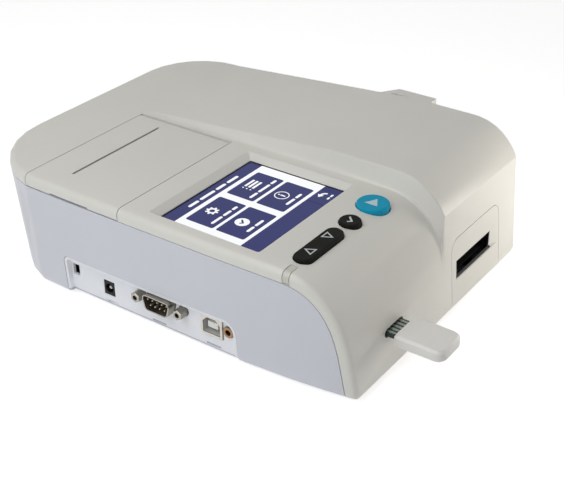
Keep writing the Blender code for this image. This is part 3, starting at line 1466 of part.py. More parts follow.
def make_printer(finishes):
    roll = world(SLOT_FROM_LEFT, ROLL_FROM_FRONT, ROLL_HEIGHT)
    shape = bmesh.new()
    start = roll - Vector((ROLL_LENGTH / 2, 0, 0))
    tube(shape, start, (1, 0, 0), ROLL_LENGTH, ROLL_RADIUS, ROLL_BORE, ROUND)
    piece("paper_roll", shape, finishes["paper"], roll)

    shape = bmesh.new()
    reach = (BAY_RIGHT - BAY_LEFT) / 2 - FIT_GAP
    flange = ROLL_LENGTH / 2
    profile = [
        (-reach, SPINDLE_JOURNAL),
        (-flange, SPINDLE_JOURNAL),
        (-flange, SPINDLE_RADIUS + RUN_GAP),
        (flange, SPINDLE_RADIUS + RUN_GAP),
        (flange, SPINDLE_JOURNAL),
        (reach, SPINDLE_JOURNAL),
    ]
    middle = world((BAY_LEFT + BAY_RIGHT) / 2, ROLL_FROM_FRONT, ROLL_HEIGHT)
    turned(shape, middle, (1, 0, 0), profile, FINE_ROUND)
    piece("paper_spindle", shape, finishes["inner_grey"], roll)

    platen = world(SLOT_FROM_LEFT, platen_from_front(), PLATEN_HEIGHT)
    shape = bmesh.new()
    start = platen - Vector((PLATEN_LENGTH / 2, 0, 0))
    bore = PLATEN_SHAFT_RADIUS + FIT_GAP
    tube(shape, start, (1, 0, 0), PLATEN_LENGTH, PLATEN_RADIUS, bore, ROUND)
    piece("platen_roller", shape, finishes["platen_rubber"], platen)

    gear_x = LEFT + BAY_LEFT - GEAR_STAND_OFF - GEAR_THICKNESS
    shape = bmesh.new()
    start = Vector((gear_x - GEAR_STAND_OFF, platen.y, platen.z))
    length = LEFT + BAY_RIGHT - FIT_GAP - start.x
    rod(shape, start, (1, 0, 0), length, PLATEN_SHAFT_RADIUS, FINE_ROUND)
    piece("platen_shaft", shape, finishes["steel"], platen)

    motor = world(BAY_LEFT, MOTOR_FROM_FRONT, MOTOR_HEIGHT)
    gap = Vector((motor.y - platen.y, motor.z - platen.z))
    module = 2 * gap.length / (GEAR_TEETH + PINION_TEETH)
    towards = math.atan2(gap.y, gap.x)
    shape = bmesh.new()
    outline = gear_outline(GEAR_TEETH, module, towards)
    gear_solid(shape, Vector((gear_x, platen.y, platen.z)), outline, bore, GEAR_THICKNESS)
    piece("platen_gear", shape, finishes["gear_white"], platen)
    shape = bmesh.new()
    outline = gear_outline(PINION_TEETH, module, towards + math.pi + math.pi / PINION_TEETH)
    points = [(motor.y + a, motor.z + b) for a, b in outline]
    prism(shape, points, "x", gear_x, gear_x + GEAR_THICKNESS)
    pinion = piece("motor_pinion", shape, finishes["brass"], motor)
    shaft = bmesh.new()
    start = Vector((gear_x - GEAR_STAND_OFF, motor.y, motor.z))
    body = motor.x + BAY_WALL + FIT_GAP
    rod(shaft, start, (1, 0, 0), body - FIT_GAP / 2 - start.x, MOTOR_SHAFT_RADIUS, BORE_ROUND)
    join(pinion, "motor_shaft", shaft)
    shape = bmesh.new()
    rod(shape, (body, motor.y, motor.z), (1, 0, 0), MOTOR_LENGTH, MOTOR_RADIUS, FINE_ROUND)
    piece("printer_motor", shape, finishes["steel"])

    shape = bmesh.new()
    face = FRONT + SLOT_FROM_FRONT - FIT_GAP
    low = (LEFT + BAY_LEFT + BAY_WALL + FIT_GAP, face - HEAD_THICKNESS, platen.z - HEAD_HEIGHT / 2)
    high = (LEFT + BAY_RIGHT - BAY_WALL - FIT_GAP, face, platen.z + HEAD_HEIGHT / 2)
    outline = [
        (low[1], low[2]),
        (face, low[2] + HEAD_THICKNESS / 2),
        (face, high[2] - HEAD_THICKNESS / 2),
        (low[1], high[2]),
    ]
    prism(shape, outline, "x", low[0], high[0])
    piece("thermal_head", shape, finishes["aluminium"])


# Card reader and optics


def make_card_guide(finish):
    half = CARD_SLOT_WIDTH / 2 + GUIDE_ROOM
    outer = half + GUIDE_WALL
    floor = CARD_SLOT_MIDDLE - CARD_SLOT_HEIGHT / 2 - GUIDE_ROOM
    roof = CARD_SLOT_MIDDLE + CARD_SLOT_HEIGHT / 2 + GUIDE_ROOM
    x = LEFT + CARD_FROM_LEFT
    outline = [
        (x - outer, BASE + floor - GUIDE_WALL),
        (x + outer, BASE + floor - GUIDE_WALL),
        (x + outer, BASE + roof + GUIDE_WALL),
        (x + half - GUIDE_LIP, BASE + roof + GUIDE_WALL),
        (x + half - GUIDE_LIP, BASE + roof),
        (x + half, BASE + roof),
        (x + half, BASE + floor),
        (x - half, BASE + floor),
        (x - half, BASE + roof),
        (x - half + GUIDE_LIP, BASE + roof),
        (x - half + GUIDE_LIP, BASE + roof + GUIDE_WALL),
        (x - outer, BASE + roof + GUIDE_WALL),
    ]
    shape = bmesh.new()
    prism(shape, outline, "y", FRONT + GUIDE_START, FRONT + GUIDE_END)
    guide = piece("card_guide", shape, finish)
    added = bmesh.new()
    for from_front in (GUIDE_START + GUIDE_LEG, GUIDE_END - 2 * GUIDE_LEG):
        for side in (-1, 1):
            middle = x + side * (outer - GUIDE_LEG / 2)
            low = (middle - GUIDE_LEG / 2, FRONT + from_front, BASE + WALL + FIT_GAP)
            high = (middle + GUIDE_LEG / 2, FRONT + from_front + GUIDE_LEG, BASE + floor - GUIDE_WALL / 2)
            block(added, low, high)
    join(guide, "card_guide_legs", added)
    stop = bmesh.new()
    low = (x - half - GUIDE_WALL / 2, FRONT + GUIDE_END - GUIDE_WALL, BASE + floor - GUIDE_WALL / 2)
    high = (x + half + GUIDE_WALL / 2, FRONT + GUIDE_END, BASE + roof + GUIDE_WALL / 2)
    block(stop, low, high)
    join(guide, "card_guide_stop", stop)


def rail_plate(name, from_front, finish):
    """Portal over the card guide that holds one end of the rods and the screw."""
    x = LEFT + CARD_FROM_LEFT
    inner = CARD_SLOT_WIDTH / 2 + GUIDE_ROOM + GUIDE_WALL + RUN_GAP
    outer = inner + RAIL_LEG
    foot = BASE + WALL + FIT_GAP
    beam = BASE + RAIL_HEIGHT - (RAIL_TOP - RAIL_HEIGHT)
    outline = [
        (x - outer, foot),
        (x - inner, foot),
        (x - inner, beam),
        (x + inner, beam),
        (x + inner, foot),
        (x + outer, foot),
        (x + outer, BASE + RAIL_TOP),
        (x - outer, BASE + RAIL_TOP),
    ]
    shape = bmesh.new()
    prism(shape, outline, "y", FRONT + from_front, FRONT + from_front + RAIL_PLATE)
    plate = piece(name, shape, finish)
    holes = bmesh.new()
    for across, radius in ((-ROD_SPACING / 2, ROD_RADIUS), (0, SCREW_RADIUS), (ROD_SPACING / 2, ROD_RADIUS)):
        start = (x + across, FRONT + from_front - OVERRUN, BASE + RAIL_HEIGHT)
        rod(holes, start, (0, 1, 0), RAIL_PLATE + 2 * OVERRUN, radius + FIT_GAP, FINE_ROUND)
    cut(plate, name + "_holes", holes)


def make_optics(finishes):
    x = LEFT + CARD_FROM_LEFT
    z = BASE + RAIL_HEIGHT
    rail_plate("rail_plate_front", RAIL_FRONT, finishes["aluminium"])
    rail_plate("rail_plate_rear", RAIL_REAR, finishes["aluminium"])
    start = FRONT + RAIL_FRONT
    length = RAIL_REAR + RAIL_PLATE - RAIL_FRONT
    for name, side in (("guide_rod_left", -1), ("guide_rod_right", 1)):
        shape = bmesh.new()
        rod(shape, (x + side * ROD_SPACING / 2, start, z), (0, 1, 0), length, ROD_RADIUS, FINE_ROUND)
        piece(name, shape, finishes["steel"])
    screw = bmesh.new()
    rod(screw, (x, start, z), (0, 1, 0), length + FIT_GAP, SCREW_RADIUS, COARSE_ROUND)
    piece("lead_screw", screw, finishes["steel"], (x, start, z))

    stepper = bmesh.new()
    half = STEPPER_SIZE / 2
    outline = rounded_box_outline((x - half, z - half), (x + half, z + half), (STEPPER_CORNER,) * 4, 1)
    rear = FRONT + RAIL_REAR + RAIL_PLATE + 2 * FIT_GAP
    prism(stepper, outline, "y", rear, rear + STEPPER_LENGTH)
    piece("stepper_motor", stepper, finishes["steel"])

    low = Vector((x - OPTIC_WIDTH / 2, FRONT + OPTIC_REAR - OPTIC_LENGTH, BASE + OPTIC_BOTTOM))
    high = Vector((x + OPTIC_WIDTH / 2, FRONT + OPTIC_REAR, BASE + OPTIC_TOP))
    shape = bmesh.new()
    block(shape, low, high)
    pivot = (x, high.y, z)
    housing = piece("optics_housing", shape, finishes["dark_plastic"], pivot)
    middle_y = (low.y + high.y) / 2
    holes = bmesh.new()
    for across, radius in (
        (-ROD_SPACING / 2, ROD_RADIUS),
        (0, SCREW_RADIUS),
        (ROD_SPACING / 2, ROD_RADIUS),
    ):
        place = (x + across, low.y - OVERRUN, z)
        rod(holes, place, (0, 1, 0), OPTIC_LENGTH + 2 * OVERRUN, radius + RUN_GAP, FINE_ROUND)
    lens_seat = low.z + LENS_THICKNESS / 2
    tunnel = [
        (low.z - OVERRUN, LENS_RADIUS + FIT_GAP),
        (lens_seat + LENS_THICKNESS + 2 * FIT_GAP, LENS_RADIUS + FIT_GAP),
    ]
    turned(holes, (x, middle_y, 0), (0, 0, 1), tunnel, ROUND)
    cut(housing, "optics_housing_bores", holes)

    lens = bmesh.new()
    profile = [
        (0, LENS_RADIUS / 2),
        (LENS_THICKNESS / 4, LENS_RADIUS),
        (LENS_THICKNESS * 3 / 4, LENS_RADIUS),
        (LENS_THICKNESS, LENS_RADIUS / 2),
    ]
    turned(lens, (x, middle_y, lens_seat), (0, 0, 1), profile, ROUND)
    piece("objective_lens", lens, finishes["lens_glass"], pivot)
    sensor = bmesh.new()
    centre = (x, middle_y, high.z + FIT_GAP + SENSOR_HEIGHT / 2)
    block(sensor, *about(centre, (SENSOR_SIZE, SENSOR_SIZE, SENSOR_HEIGHT)))
    piece("light_sensor", sensor, finishes["dark_plastic"], pivot)
    nut = bmesh.new()
    start = (x, low.y - FIT_GAP - NUT_LENGTH, z)
    tube(nut, start, (0, 1, 0), NUT_LENGTH, NUT_RADIUS, SCREW_RADIUS + FIT_GAP, COARSE_ROUND)
    piece("screw_nut", nut, finishes["brass"], pivot)


# Code chip


def make_code_chip(finishes):
    x = LEFT + CHIP_FROM_LEFT
    z = BASE + CHIP_HEIGHT
    rear = FRONT - CHIP_STAND_OFF
    front = rear - CHIP_BODY_LENGTH
    pivot = (x, rear, z)
    chamfer = CHIP_BODY_CHAMFER
    half = CHIP_BODY_THICKNESS / 2
    corner = CHIP_BODY_CORNER
    rings = []
    for level, inset in ((-half, chamfer), (chamfer - half, 0), (half - chamfer, 0), (half, chamfer)):
        low = (x - CHIP_BODY_WIDTH / 2 + inset, front + inset)
        high = (x + CHIP_BODY_WIDTH / 2 - inset, rear - inset / 2)
        small = chamfer + FIT_GAP
        outline = rounded_box_outline(low, high, (corner - inset, corner - inset, small, small))
        rings.append([(px, py, z + level) for px, py in outline])
    shape = bmesh.new()
    loft(shape, rings)
    body = piece("code_chip_body", shape, finishes["case_white"], pivot)
    pocket = bmesh.new()
    low = (
        x - CHIP_TONGUE_WIDTH / 2 - FIT_GAP,
        rear - CHIP_TONGUE_HOLD - FIT_GAP,
        z - CHIP_TONGUE_THICKNESS / 2 - FIT_GAP,
    )
    high = (
        x + CHIP_TONGUE_WIDTH / 2 + FIT_GAP,
        rear + OVERRUN,
        z + CHIP_TONGUE_THICKNESS / 2 + FIT_GAP,
    )
    block(pocket, low, high)
    cut(body, "code_chip_pocket", pocket)

    shape = bmesh.new()
    low = (x - CHIP_TONGUE_WIDTH / 2, rear - CHIP_TONGUE_HOLD, z - CHIP_TONGUE_THICKNESS / 2)
    high = (x + CHIP_TONGUE_WIDTH / 2, rear + CHIP_TONGUE_LENGTH, z + CHIP_TONGUE_THICKNESS / 2)
    block(shape, low, high)
    piece("code_chip_board", shape, finishes["board_green"], pivot)

    outer = CHIP_TONGUE_WIDTH / 2 + SOCKET_ROOM + SOCKET_WALL
    shape = bmesh.new()
    top = z + CHIP_TONGUE_THICKNESS / 2 + SOCKET_ROOM + SOCKET_WALL
    low = (x - outer, FRONT + SOCKET_FRONT, BASE + chip_pedestal_top() + FIT_GAP)
    block(shape, low, (x + outer, FRONT + SOCKET_FRONT + SOCKET_LENGTH, top))
    socket = piece("chip_socket", shape, finishes["dark_plastic"])
    mouth = bmesh.new()
    inner = outer - SOCKET_WALL
    low = (x - inner, FRONT + SOCKET_FRONT - OVERRUN, z - CHIP_TONGUE_THICKNESS / 2 - SOCKET_ROOM)
    high = (x + inner, FRONT + SOCKET_FRONT + SOCKET_LENGTH - SOCKET_WALL, top - SOCKET_WALL)
    block(mouth, low, high)
    cut(socket, "chip_socket_mouth", mouth)


# Connectors


def panel_face():
    """World x of the outer face of the connector panel."""
    return LEFT + RECESS_FLOOR


def serial_outline(grow):
    """Outline in y and z of the D-shaped shell, wide side up."""
    y = FRONT + SERIAL_FROM_FRONT
    z = BASE + SERIAL_HEIGHT
    half = SERIAL_WIDE / 2 + grow
    tall = SERIAL_TALL / 2 + grow
    corners = [
        (y - half + SERIAL_TAPER, z - tall),
        (y + half - SERIAL_TAPER, z - tall),
        (y + half, z + tall),
        (y - half, z + tall),
    ]
    radius = SERIAL_CORNER + grow
    outline = []
    for k, corner in enumerate(corners):
        here = Vector(corner)
        before = (Vector(corners[k - 1]) - here).normalized()
        after = (Vector(corners[(k + 1) % len(corners)]) - here).normalized()
        opening = before.angle(after)
        reach = radius / math.tan(opening / 2)
        middle = here + (before + after).normalized() * (radius / math.sin(opening / 2))
        first = here + before * reach - middle
        last = here + after * reach - middle
        for step in range(CORNER_FACETS):
            share = step / (CORNER_FACETS - 1)
            away = (first * (1 - share) + last * share).normalized() * radius
            outline.append((middle.x + away.x, middle.y + away.y))
    return outline


def make_connector_panel(finish):
    """Insert that lines the recess: a floor with cut-outs and a rim along its top and ends."""
    shape = bmesh.new()
    outer = recess_outline(PANEL_RIM)
    x = panel_face()
    prism(shape, outer, "x", LEFT, x + PANEL_THICKNESS)
    panel = piece("connector_panel", shape, finish)
    trim = bmesh.new()
    low = (LEFT - OVERRUN, FRONT, BASE - 2 * OVERRUN)
    high = (LEFT + RECESS_REAR, REAR, BASE + BASE_ROUNDING)
    block(trim, low, high)
    cut(panel, "connector_panel_foot", trim)
    inside = bmesh.new()
    prism(inside, recess_outline(0), "x", LEFT - OVERRUN, x)
    cut(panel, "connector_panel_inside", inside)
    slope = bmesh.new()
    ends = (BASE, BASE + RECESS_TOP + PANEL_RIM + OVERRUN)
    rings = []
    for step in range(SLOPE_STEPS + 1):
        y = FRONT + RECESS_FRONT - OVERRUN
        y += (RECESS_REAR - RECESS_FRONT + 2 * OVERRUN) * step / SLOPE_STEPS
        out = [(LEFT - OVERRUN, y, z) for z in ends]
        wall = [(LEFT + side_inset(y, z, -1) + FIT_GAP, y, z) for z in ends[::-1]]
        rings.append(out + wall)
    loft(slope, rings)
    cut(panel, "connector_panel_slope", slope)

    holes = bmesh.new()
    deep = x + PANEL_THICKNESS + OVERRUN
    prism(holes, serial_outline(FIT_GAP), "x", x - OVERRUN, deep)
    for side in (-1, 1):
        start = world(0, SERIAL_FROM_FRONT + side * SERIAL_SCREW_PITCH / 2, SERIAL_HEIGHT)
        start.x = x - OVERRUN
        rod(holes, start, (1, 0, 0), deep - start.x, SERIAL_SCREW_RADIUS + FIT_GAP, BORE_ROUND)
    for from_front, height, width, tall in (
        (USB_FROM_FRONT, USB_HEIGHT, USB_WIDTH, USB_TALL),
        (POWER_FROM_FRONT, POWER_HEIGHT, POWER_FACE_WIDTH, POWER_FACE_HEIGHT),
    ):
        centre = world(RECESS_FLOOR, from_front, height)
        block(holes, *about(centre, (4 * OVERRUN, width + 2 * FIT_GAP, tall + 2 * FIT_GAP)))
    start = world(RECESS_FLOOR - OVERRUN, PROBE_FROM_FRONT, PROBE_HEIGHT)
    rod(holes, start, (1, 0, 0), 3 * OVERRUN, PROBE_RADIUS + FIT_GAP, FINE_ROUND)
    centre = world(RECESS_FLOOR, LOCK_SLOT_FROM_FRONT, LOCK_SLOT_MIDDLE)
    block(holes, *about(centre, (4 * OVERRUN, LOCK_SLOT_LENGTH, LOCK_SLOT_HEIGHT)))
    cut(panel, "connector_panel_holes", holes)


def make_power_jack(finishes):
    x = panel_face()
    y = FRONT + POWER_FROM_FRONT
    z = BASE + POWER_HEIGHT
    shape = bmesh.new()
    size = (2 * PANEL_THICKNESS, POWER_FACE_WIDTH, POWER_FACE_HEIGHT)
    block(shape, *about((x + PANEL_THICKNESS, y, z), size))
    jack = piece("power_jack", shape, finishes["dark_plastic"])
    back = bmesh.new()
    floor = BASE + BOARD_BOTTOM + BOARD_THICKNESS + FIT_GAP
    low = (x + PANEL_THICKNESS + FIT_GAP, y - POWER_BODY_WIDTH / 2, floor)
    top = z + POWER_FACE_HEIGHT / 2 + PANEL_RIM
    block(back, low, (low[0] + POWER_BODY_DEPTH, y + POWER_BODY_WIDTH / 2, top))
    join(jack, "power_jack_body", back)
    bore = bmesh.new()
    rod(bore, (x - OVERRUN, y, z), (1, 0, 0), OVERRUN + POWER_BORE_DEPTH, POWER_BORE_RADIUS, FINE_ROUND)
    cut(jack, "power_jack_bore", bore)
    pin = bmesh.new()
    length = POWER_BORE_DEPTH - POWER_PIN_RADIUS - FIT_GAP
    rod(pin, (x + POWER_PIN_RADIUS, y, z), (1, 0, 0), length, POWER_PIN_RADIUS, BORE_ROUND)
    piece("power_jack_pin", pin, finishes["nickel"])


def make_serial_port(finishes):
    x = panel_face()
    y = FRONT + SERIAL_FROM_FRONT
    z = BASE + SERIAL_HEIGHT
    flange = x + PANEL_THICKNESS + FIT_GAP
    shape = bmesh.new()
    centre = (flange + SERIAL_FLANGE_THICKNESS / 2, y, z)
    block(shape, *about(centre, (SERIAL_FLANGE_THICKNESS, SERIAL_FLANGE_LENGTH, SERIAL_FLANGE_HEIGHT)))
    shell = piece("serial_shell", shape, finishes["nickel"])
    dee = bmesh.new()
    prism(dee, serial_outline(0), "x", x - SERIAL_PROUD, flange + SERIAL_FLANGE_THICKNESS / 2)
    join(shell, "serial_shell_dee", dee)
    inside = bmesh.new()
    deep = flange + SERIAL_FLANGE_THICKNESS + OVERRUN
    prism(inside, serial_outline(-SERIAL_SKIN), "x", x - SERIAL_PROUD - OVERRUN, deep)
    for side in (-1, 1):
        start = (flange - OVERRUN, y + side * SERIAL_SCREW_PITCH / 2, z)
        rod(inside, start, (1, 0, 0), 2 * OVERRUN, SERIAL_SCREW_BORE + FIT_GAP, BORE_ROUND)
    cut(shell, "serial_shell_inside", inside)

    core = bmesh.new()
    face = x + FIT_GAP
    back = flange + SERIAL_FLANGE_THICKNESS
    prism(core, serial_outline(-SERIAL_SKIN - FIT_GAP), "x", face, back + 2 * FIT_GAP)
    core = piece("serial_insulator", core, finishes["dark_plastic"])
    body = bmesh.new()
    low = (back + FIT_GAP, y - SERIAL_BODY_LENGTH / 2, BASE + BOARD_BOTTOM + BOARD_THICKNESS + FIT_GAP)
    high = (back + SERIAL_BODY_DEPTH, y + SERIAL_BODY_LENGTH / 2, z + SERIAL_BODY_HEIGHT / 2)
    block(body, low, high)
    join(core, "serial_insulator_body", body)
    pins = bmesh.new()
    for count, row in SERIAL_PIN_ROWS:
        for k in range(count):
            across = (k - (count - 1) / 2) * SERIAL_PIN_PITCH
            place = (face - SERIAL_PIN_PROUD, y + across, z + row * SERIAL_PIN_ROW / 2)
            profile = [
                (0, SERIAL_PIN_RADIUS / 2),
                (SERIAL_PIN_RADIUS, SERIAL_PIN_RADIUS),
                (SERIAL_PIN_PROUD + PANEL_THICKNESS / 2, SERIAL_PIN_RADIUS),
            ]
            turned(pins, place, (1, 0, 0), profile, HEX)
    join(core, "serial_pins", pins)

    for name, side in (("serial_jackscrew_front", -1), ("serial_jackscrew_rear", 1)):
        start = (x - SERIAL_SCREW_PROUD, y + side * SERIAL_SCREW_PITCH / 2, z)
        hexagon = SERIAL_SCREW_RADIUS
        end = SERIAL_SCREW_PROUD + PANEL_THICKNESS
        profile = [
            (SERIAL_SCREW_BORE_DEPTH, SERIAL_SCREW_BORE / 2),
            (SERIAL_SCREW_BORE_DEPTH, SERIAL_SCREW_BORE),
            (0, SERIAL_SCREW_BORE),
            (0, hexagon - FIT_GAP),
            (FIT_GAP, hexagon),
            (end, hexagon),
            (end, SERIAL_SCREW_BORE),
            (end + SERIAL_SCREW_BORE_DEPTH, SERIAL_SCREW_BORE),
        ]
        screw = bmesh.new()
        turned(screw, start, (1, 0, 0), profile, HEX, math.pi / HEX)
        piece(name, screw, finishes["nickel"])


def make_usb_port(finishes):
    x = panel_face() - USB_PROUD
    y = FRONT + USB_FROM_FRONT
    z = BASE + USB_HEIGHT
    half = USB_WIDTH / 2
    tall = USB_TALL / 2
    shape = bmesh.new()
    block(shape, (x, y - half, z - tall), (x + USB_DEPTH, y + half, z + tall))
    socket = piece("usb_socket", shape, finishes["nickel"])
    inside = bmesh.new()
    chamfer = USB_WIDTH * USB_CHAMFER_SHARE
    w = half - USB_SKIN
    t = tall - USB_SKIN
    outline = [
        (y - w, z - t),
        (y + w, z - t),
        (y + w, z + t - chamfer),
        (y + w - chamfer, z + t),
        (y - w + chamfer, z + t),
        (y - w, z + t - chamfer),
    ]
    prism(inside, outline, "x", x - OVERRUN, x + USB_CAVITY)
    cut(socket, "usb_socket_inside", inside)
    legs = bmesh.new()
    floor = BASE + BOARD_BOTTOM + BOARD_THICKNESS + FIT_GAP
    low = (x + USB_CAVITY, y - half + USB_SKIN, floor)
    block(legs, low, (x + USB_DEPTH - USB_SKIN, y + half - USB_SKIN, z - tall + USB_SKIN / 2))
    join(socket, "usb_socket_foot", legs)
    tongue = bmesh.new()
    low = (x + USB_SKIN, y - USB_TONGUE_WIDTH / 2, z - USB_TONGUE_HEIGHT / 2)
    high = (x + USB_CAVITY - FIT_GAP, y + USB_TONGUE_WIDTH / 2, z + USB_TONGUE_HEIGHT / 2)
    block(tongue, low, high)
    piece("usb_tongue", tongue, finishes["case_white"])


def make_probe_jack(finishes):
    x = panel_face()
    y = FRONT + PROBE_FROM_FRONT
    z = BASE + PROBE_HEIGHT
    half = PROBE_BODY / 2
    floor = BASE + BOARD_BOTTOM + BOARD_THICKNESS + FIT_GAP
    body = x + PANEL_THICKNESS + FIT_GAP
    shape = bmesh.new()
    block(shape, (body, y - half, floor), (body + PROBE_DEPTH, y + half, z + half))
    jack = piece("probe_jack", shape, finishes["dark_plastic"])
    collar = bmesh.new()
    length = PROBE_PROUD + PANEL_THICKNESS + 2 * FIT_GAP
    rod(collar, (x - PROBE_PROUD, y, z), (1, 0, 0), length, PROBE_RADIUS, FINE_ROUND)
    join(jack, "probe_jack_collar", collar)
    bore = bmesh.new()
    reach = OVERRUN + PROBE_DEPTH - PANEL_THICKNESS
    rod(bore, (body - OVERRUN, y, z), (1, 0, 0), reach, PROBE_BORE_RADIUS, BORE_ROUND)
    cut(jack, "probe_jack_bore", bore)


# Main board


def make_main_board(finishes):
    low = world(BOARD_LEFT, BOARD_FRONT, BOARD_BOTTOM)
    high = world(BOARD_RIGHT, BOARD_REAR, BOARD_BOTTOM + BOARD_THICKNESS)
    shape = bmesh.new()
    block(shape, low, high)
    board = piece("main_board", shape, finishes["board_green"])
    components = bmesh.new()
    middle = (low + high) / 2
    centre = (middle.x, middle.y, high.z + CHIP_THICKNESS / 2)
    block(components, *about(centre, (CHIP_SIZE, CHIP_SIZE, 2 * CHIP_THICKNESS)))
    place = (middle.x + CHIP_SIZE * 3 / 2, middle.y + CHIP_SIZE, high.z - MERGE)
    rod(components, place, (0, 0, 1), CELL_THICKNESS, CELL_RADIUS, ROUND)
    join(board, "main_board_components", components)
    holes = bmesh.new()
    for place in board_screw_places():
        start = (place.x, place.y, low.z - OVERRUN)
        rod(holes, start, (0, 0, 1), 2 * OVERRUN + BOARD_THICKNESS, BOARD_SCREW_RADIUS + FIT_GAP, BORE_ROUND)
    cut(board, "main_board_holes", holes)

    top = high.z + FIT_GAP
    for name, place in zip(("board_screw_left", "board_screw_right"), board_screw_places()):
        profile = [
            (BASE + 2 * BOARD_SCREW_RADIUS, BOARD_SCREW_RADIUS),
            (top, BOARD_SCREW_RADIUS),
            (top, BOARD_SCREW_HEAD),
            (top + BOARD_SCREW_HEAD_HEIGHT, BOARD_SCREW_HEAD),
        ]
        screw = bmesh.new()
        turned(screw, (place.x, place.y, 0), (0, 0, 1), profile, BORE_ROUND)
        piece(name, screw, finishes["steel"])


# Outside trim


def make_feet(finish):
    top = BASE + FOOT_SINK
    for name, place in zip(CORNER_NAMES, foot_places()):
        profile = [
            (0, FOOT_RADIUS - FOOT_SINK / 2),
            (FOOT_SINK / 2, FOOT_RADIUS),
            (top, FOOT_RADIUS),
        ]
        shape = bmesh.new()
        turned(shape, (place.x, place.y, 0), (0, 0, 1), profile, ROUND)
        piece("rubber_foot_" + name, shape, finish)


def make_case_screws(finish):
    for name, place in zip(CORNER_NAMES, post_places()):
        seat = BASE + SCREW_POCKET_DEPTH - FIT_GAP
        profile = [
            (seat - CASE_SCREW_HEAD_HEIGHT, CASE_SCREW_HEAD_RADIUS),
            (seat, CASE_SCREW_HEAD_RADIUS),
            (seat, SCREW_SHANK_RADIUS),
            (seat + CASE_SCREW_LENGTH, SCREW_SHANK_RADIUS),
        ]
        shape = bmesh.new()
        turned(shape, (place.x, place.y, 0), (0, 0, 1), profile, COARSE_ROUND)
        piece("case_screw_" + name, shape, finish)


def cowl_peg_height():
    return BASE + (COWL_BOTTOM + COWL_REAR_TOP) / 2


def make_side_cowl(finish):
    x = RIGHT + FIT_GAP
    out = RIGHT + COWL_PROUD
    corners = [
        (FRONT + COWL_FRONT, BASE + COWL_BOTTOM),
        (FRONT + COWL_REAR, BASE + COWL_BOTTOM),
        (FRONT + COWL_REAR, BASE + COWL_REAR_TOP),
        (FRONT + COWL_FLAT_END, BASE + COWL_TOP),
        (FRONT + COWL_FRONT, BASE + COWL_TOP),
    ]
    middle = Vector((FRONT + (COWL_FRONT + COWL_REAR) / 2, BASE + (COWL_BOTTOM + COWL_TOP) / 2))
    rings = []
    for place, inset in ((x, 0), (out - COWL_ROUNDING, 0), (out, COWL_ROUNDING)):
        points = []
        for y, z in corners:
            away = Vector((y, z)) - middle
            away -= Vector((math.copysign(inset, away.x), math.copysign(inset, away.y)))
            points.append((place, middle.x + away.x, middle.y + away.y))
        rings.append(points)
    shape = bmesh.new()
    loft(shape, rings)
    cowl = piece("side_cowl", shape, finish)
    pegs = bmesh.new()
    for from_front in ((COWL_FRONT + COWL_FLAT_END) / 2, COWL_FLAT_END + COWL_PEG_LENGTH):
        start = (x - COWL_PEG_LENGTH, FRONT + from_front, cowl_peg_height())
        rod(pegs, start, (1, 0, 0), COWL_PEG_LENGTH + COWL_ROUNDING, COWL_PEG_RADIUS, BORE_ROUND)
    join(cowl, "side_cowl_pegs", pegs)


def build():
    clear_scene()
    finishes = make_finishes()
    shell = case_shell_mesh()
    make_upper_cover(shell, finishes["case_white"])
    make_lower_case(shell, finishes["case_white"])
    make_printer_cover(shell, finishes["case_white"])
    make_hinge_pin(finishes["steel"])
    make_light_pipe(shell, finishes["light_pipe"])
    make_card_panel(shell, finishes["case_white"])
    make_display(finishes)
    make_keys(finishes)
    make_keypad(finishes)
    make_printer_bay(finishes["inner_grey"])
    make_printer(finishes)
    make_card_guide(finishes["inner_grey"])
    make_optics(finishes)
    make_code_chip(finishes)
    make_connector_panel(finishes["panel_white"])
    make_power_jack(finishes)
    make_serial_port(finishes)
    make_usb_port(finishes)
    make_probe_jack(finishes)
    make_main_board(finishes)
    make_feet(finishes["rubber_black"])
    make_case_screws(finishes["steel"])
    make_side_cowl(finishes["case_white"])


build()
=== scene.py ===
# Immunofluorescence analyzer: finishes, screen picture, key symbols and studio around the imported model.
import math

import bmesh
import bpy
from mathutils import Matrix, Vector


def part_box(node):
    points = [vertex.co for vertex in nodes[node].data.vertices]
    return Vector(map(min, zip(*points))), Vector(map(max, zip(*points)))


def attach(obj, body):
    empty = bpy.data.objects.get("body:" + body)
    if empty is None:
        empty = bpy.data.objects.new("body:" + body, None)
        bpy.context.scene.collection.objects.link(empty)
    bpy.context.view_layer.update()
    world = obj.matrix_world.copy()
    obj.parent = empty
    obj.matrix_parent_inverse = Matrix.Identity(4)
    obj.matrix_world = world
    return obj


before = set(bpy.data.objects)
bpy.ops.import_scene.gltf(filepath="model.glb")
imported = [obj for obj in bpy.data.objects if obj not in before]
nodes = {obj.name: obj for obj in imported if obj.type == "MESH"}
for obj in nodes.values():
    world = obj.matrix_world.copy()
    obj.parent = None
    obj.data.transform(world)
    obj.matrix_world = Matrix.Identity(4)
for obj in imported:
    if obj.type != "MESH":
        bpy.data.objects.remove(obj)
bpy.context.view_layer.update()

print("loaded", len(nodes), "nodes")


# camera
camera = {
    "place": (-0.4033, -0.29135, 0.3101),
    "azimuth": -55.18,
    "elevation": 30.55,
    "lens": 73.2,
    "shift": (-0.0282, -0.0092),
}


def makeCamera():
    data = bpy.data.cameras.new("camera")
    data.lens = camera["lens"]
    data.sensor_width = 36
    data.shift_x, data.shift_y = camera["shift"]
    data.clip_start, data.clip_end = 0.01, 20
    eye = bpy.data.objects.new("camera", data)
    eye.location = camera["place"]
    eye.rotation_euler = (math.radians(90 - camera["elevation"]), 0, math.radians(camera["azimuth"]))
    bpy.context.scene.collection.objects.link(eye)
    bpy.context.scene.camera = eye


makeCamera()
print("camera set")


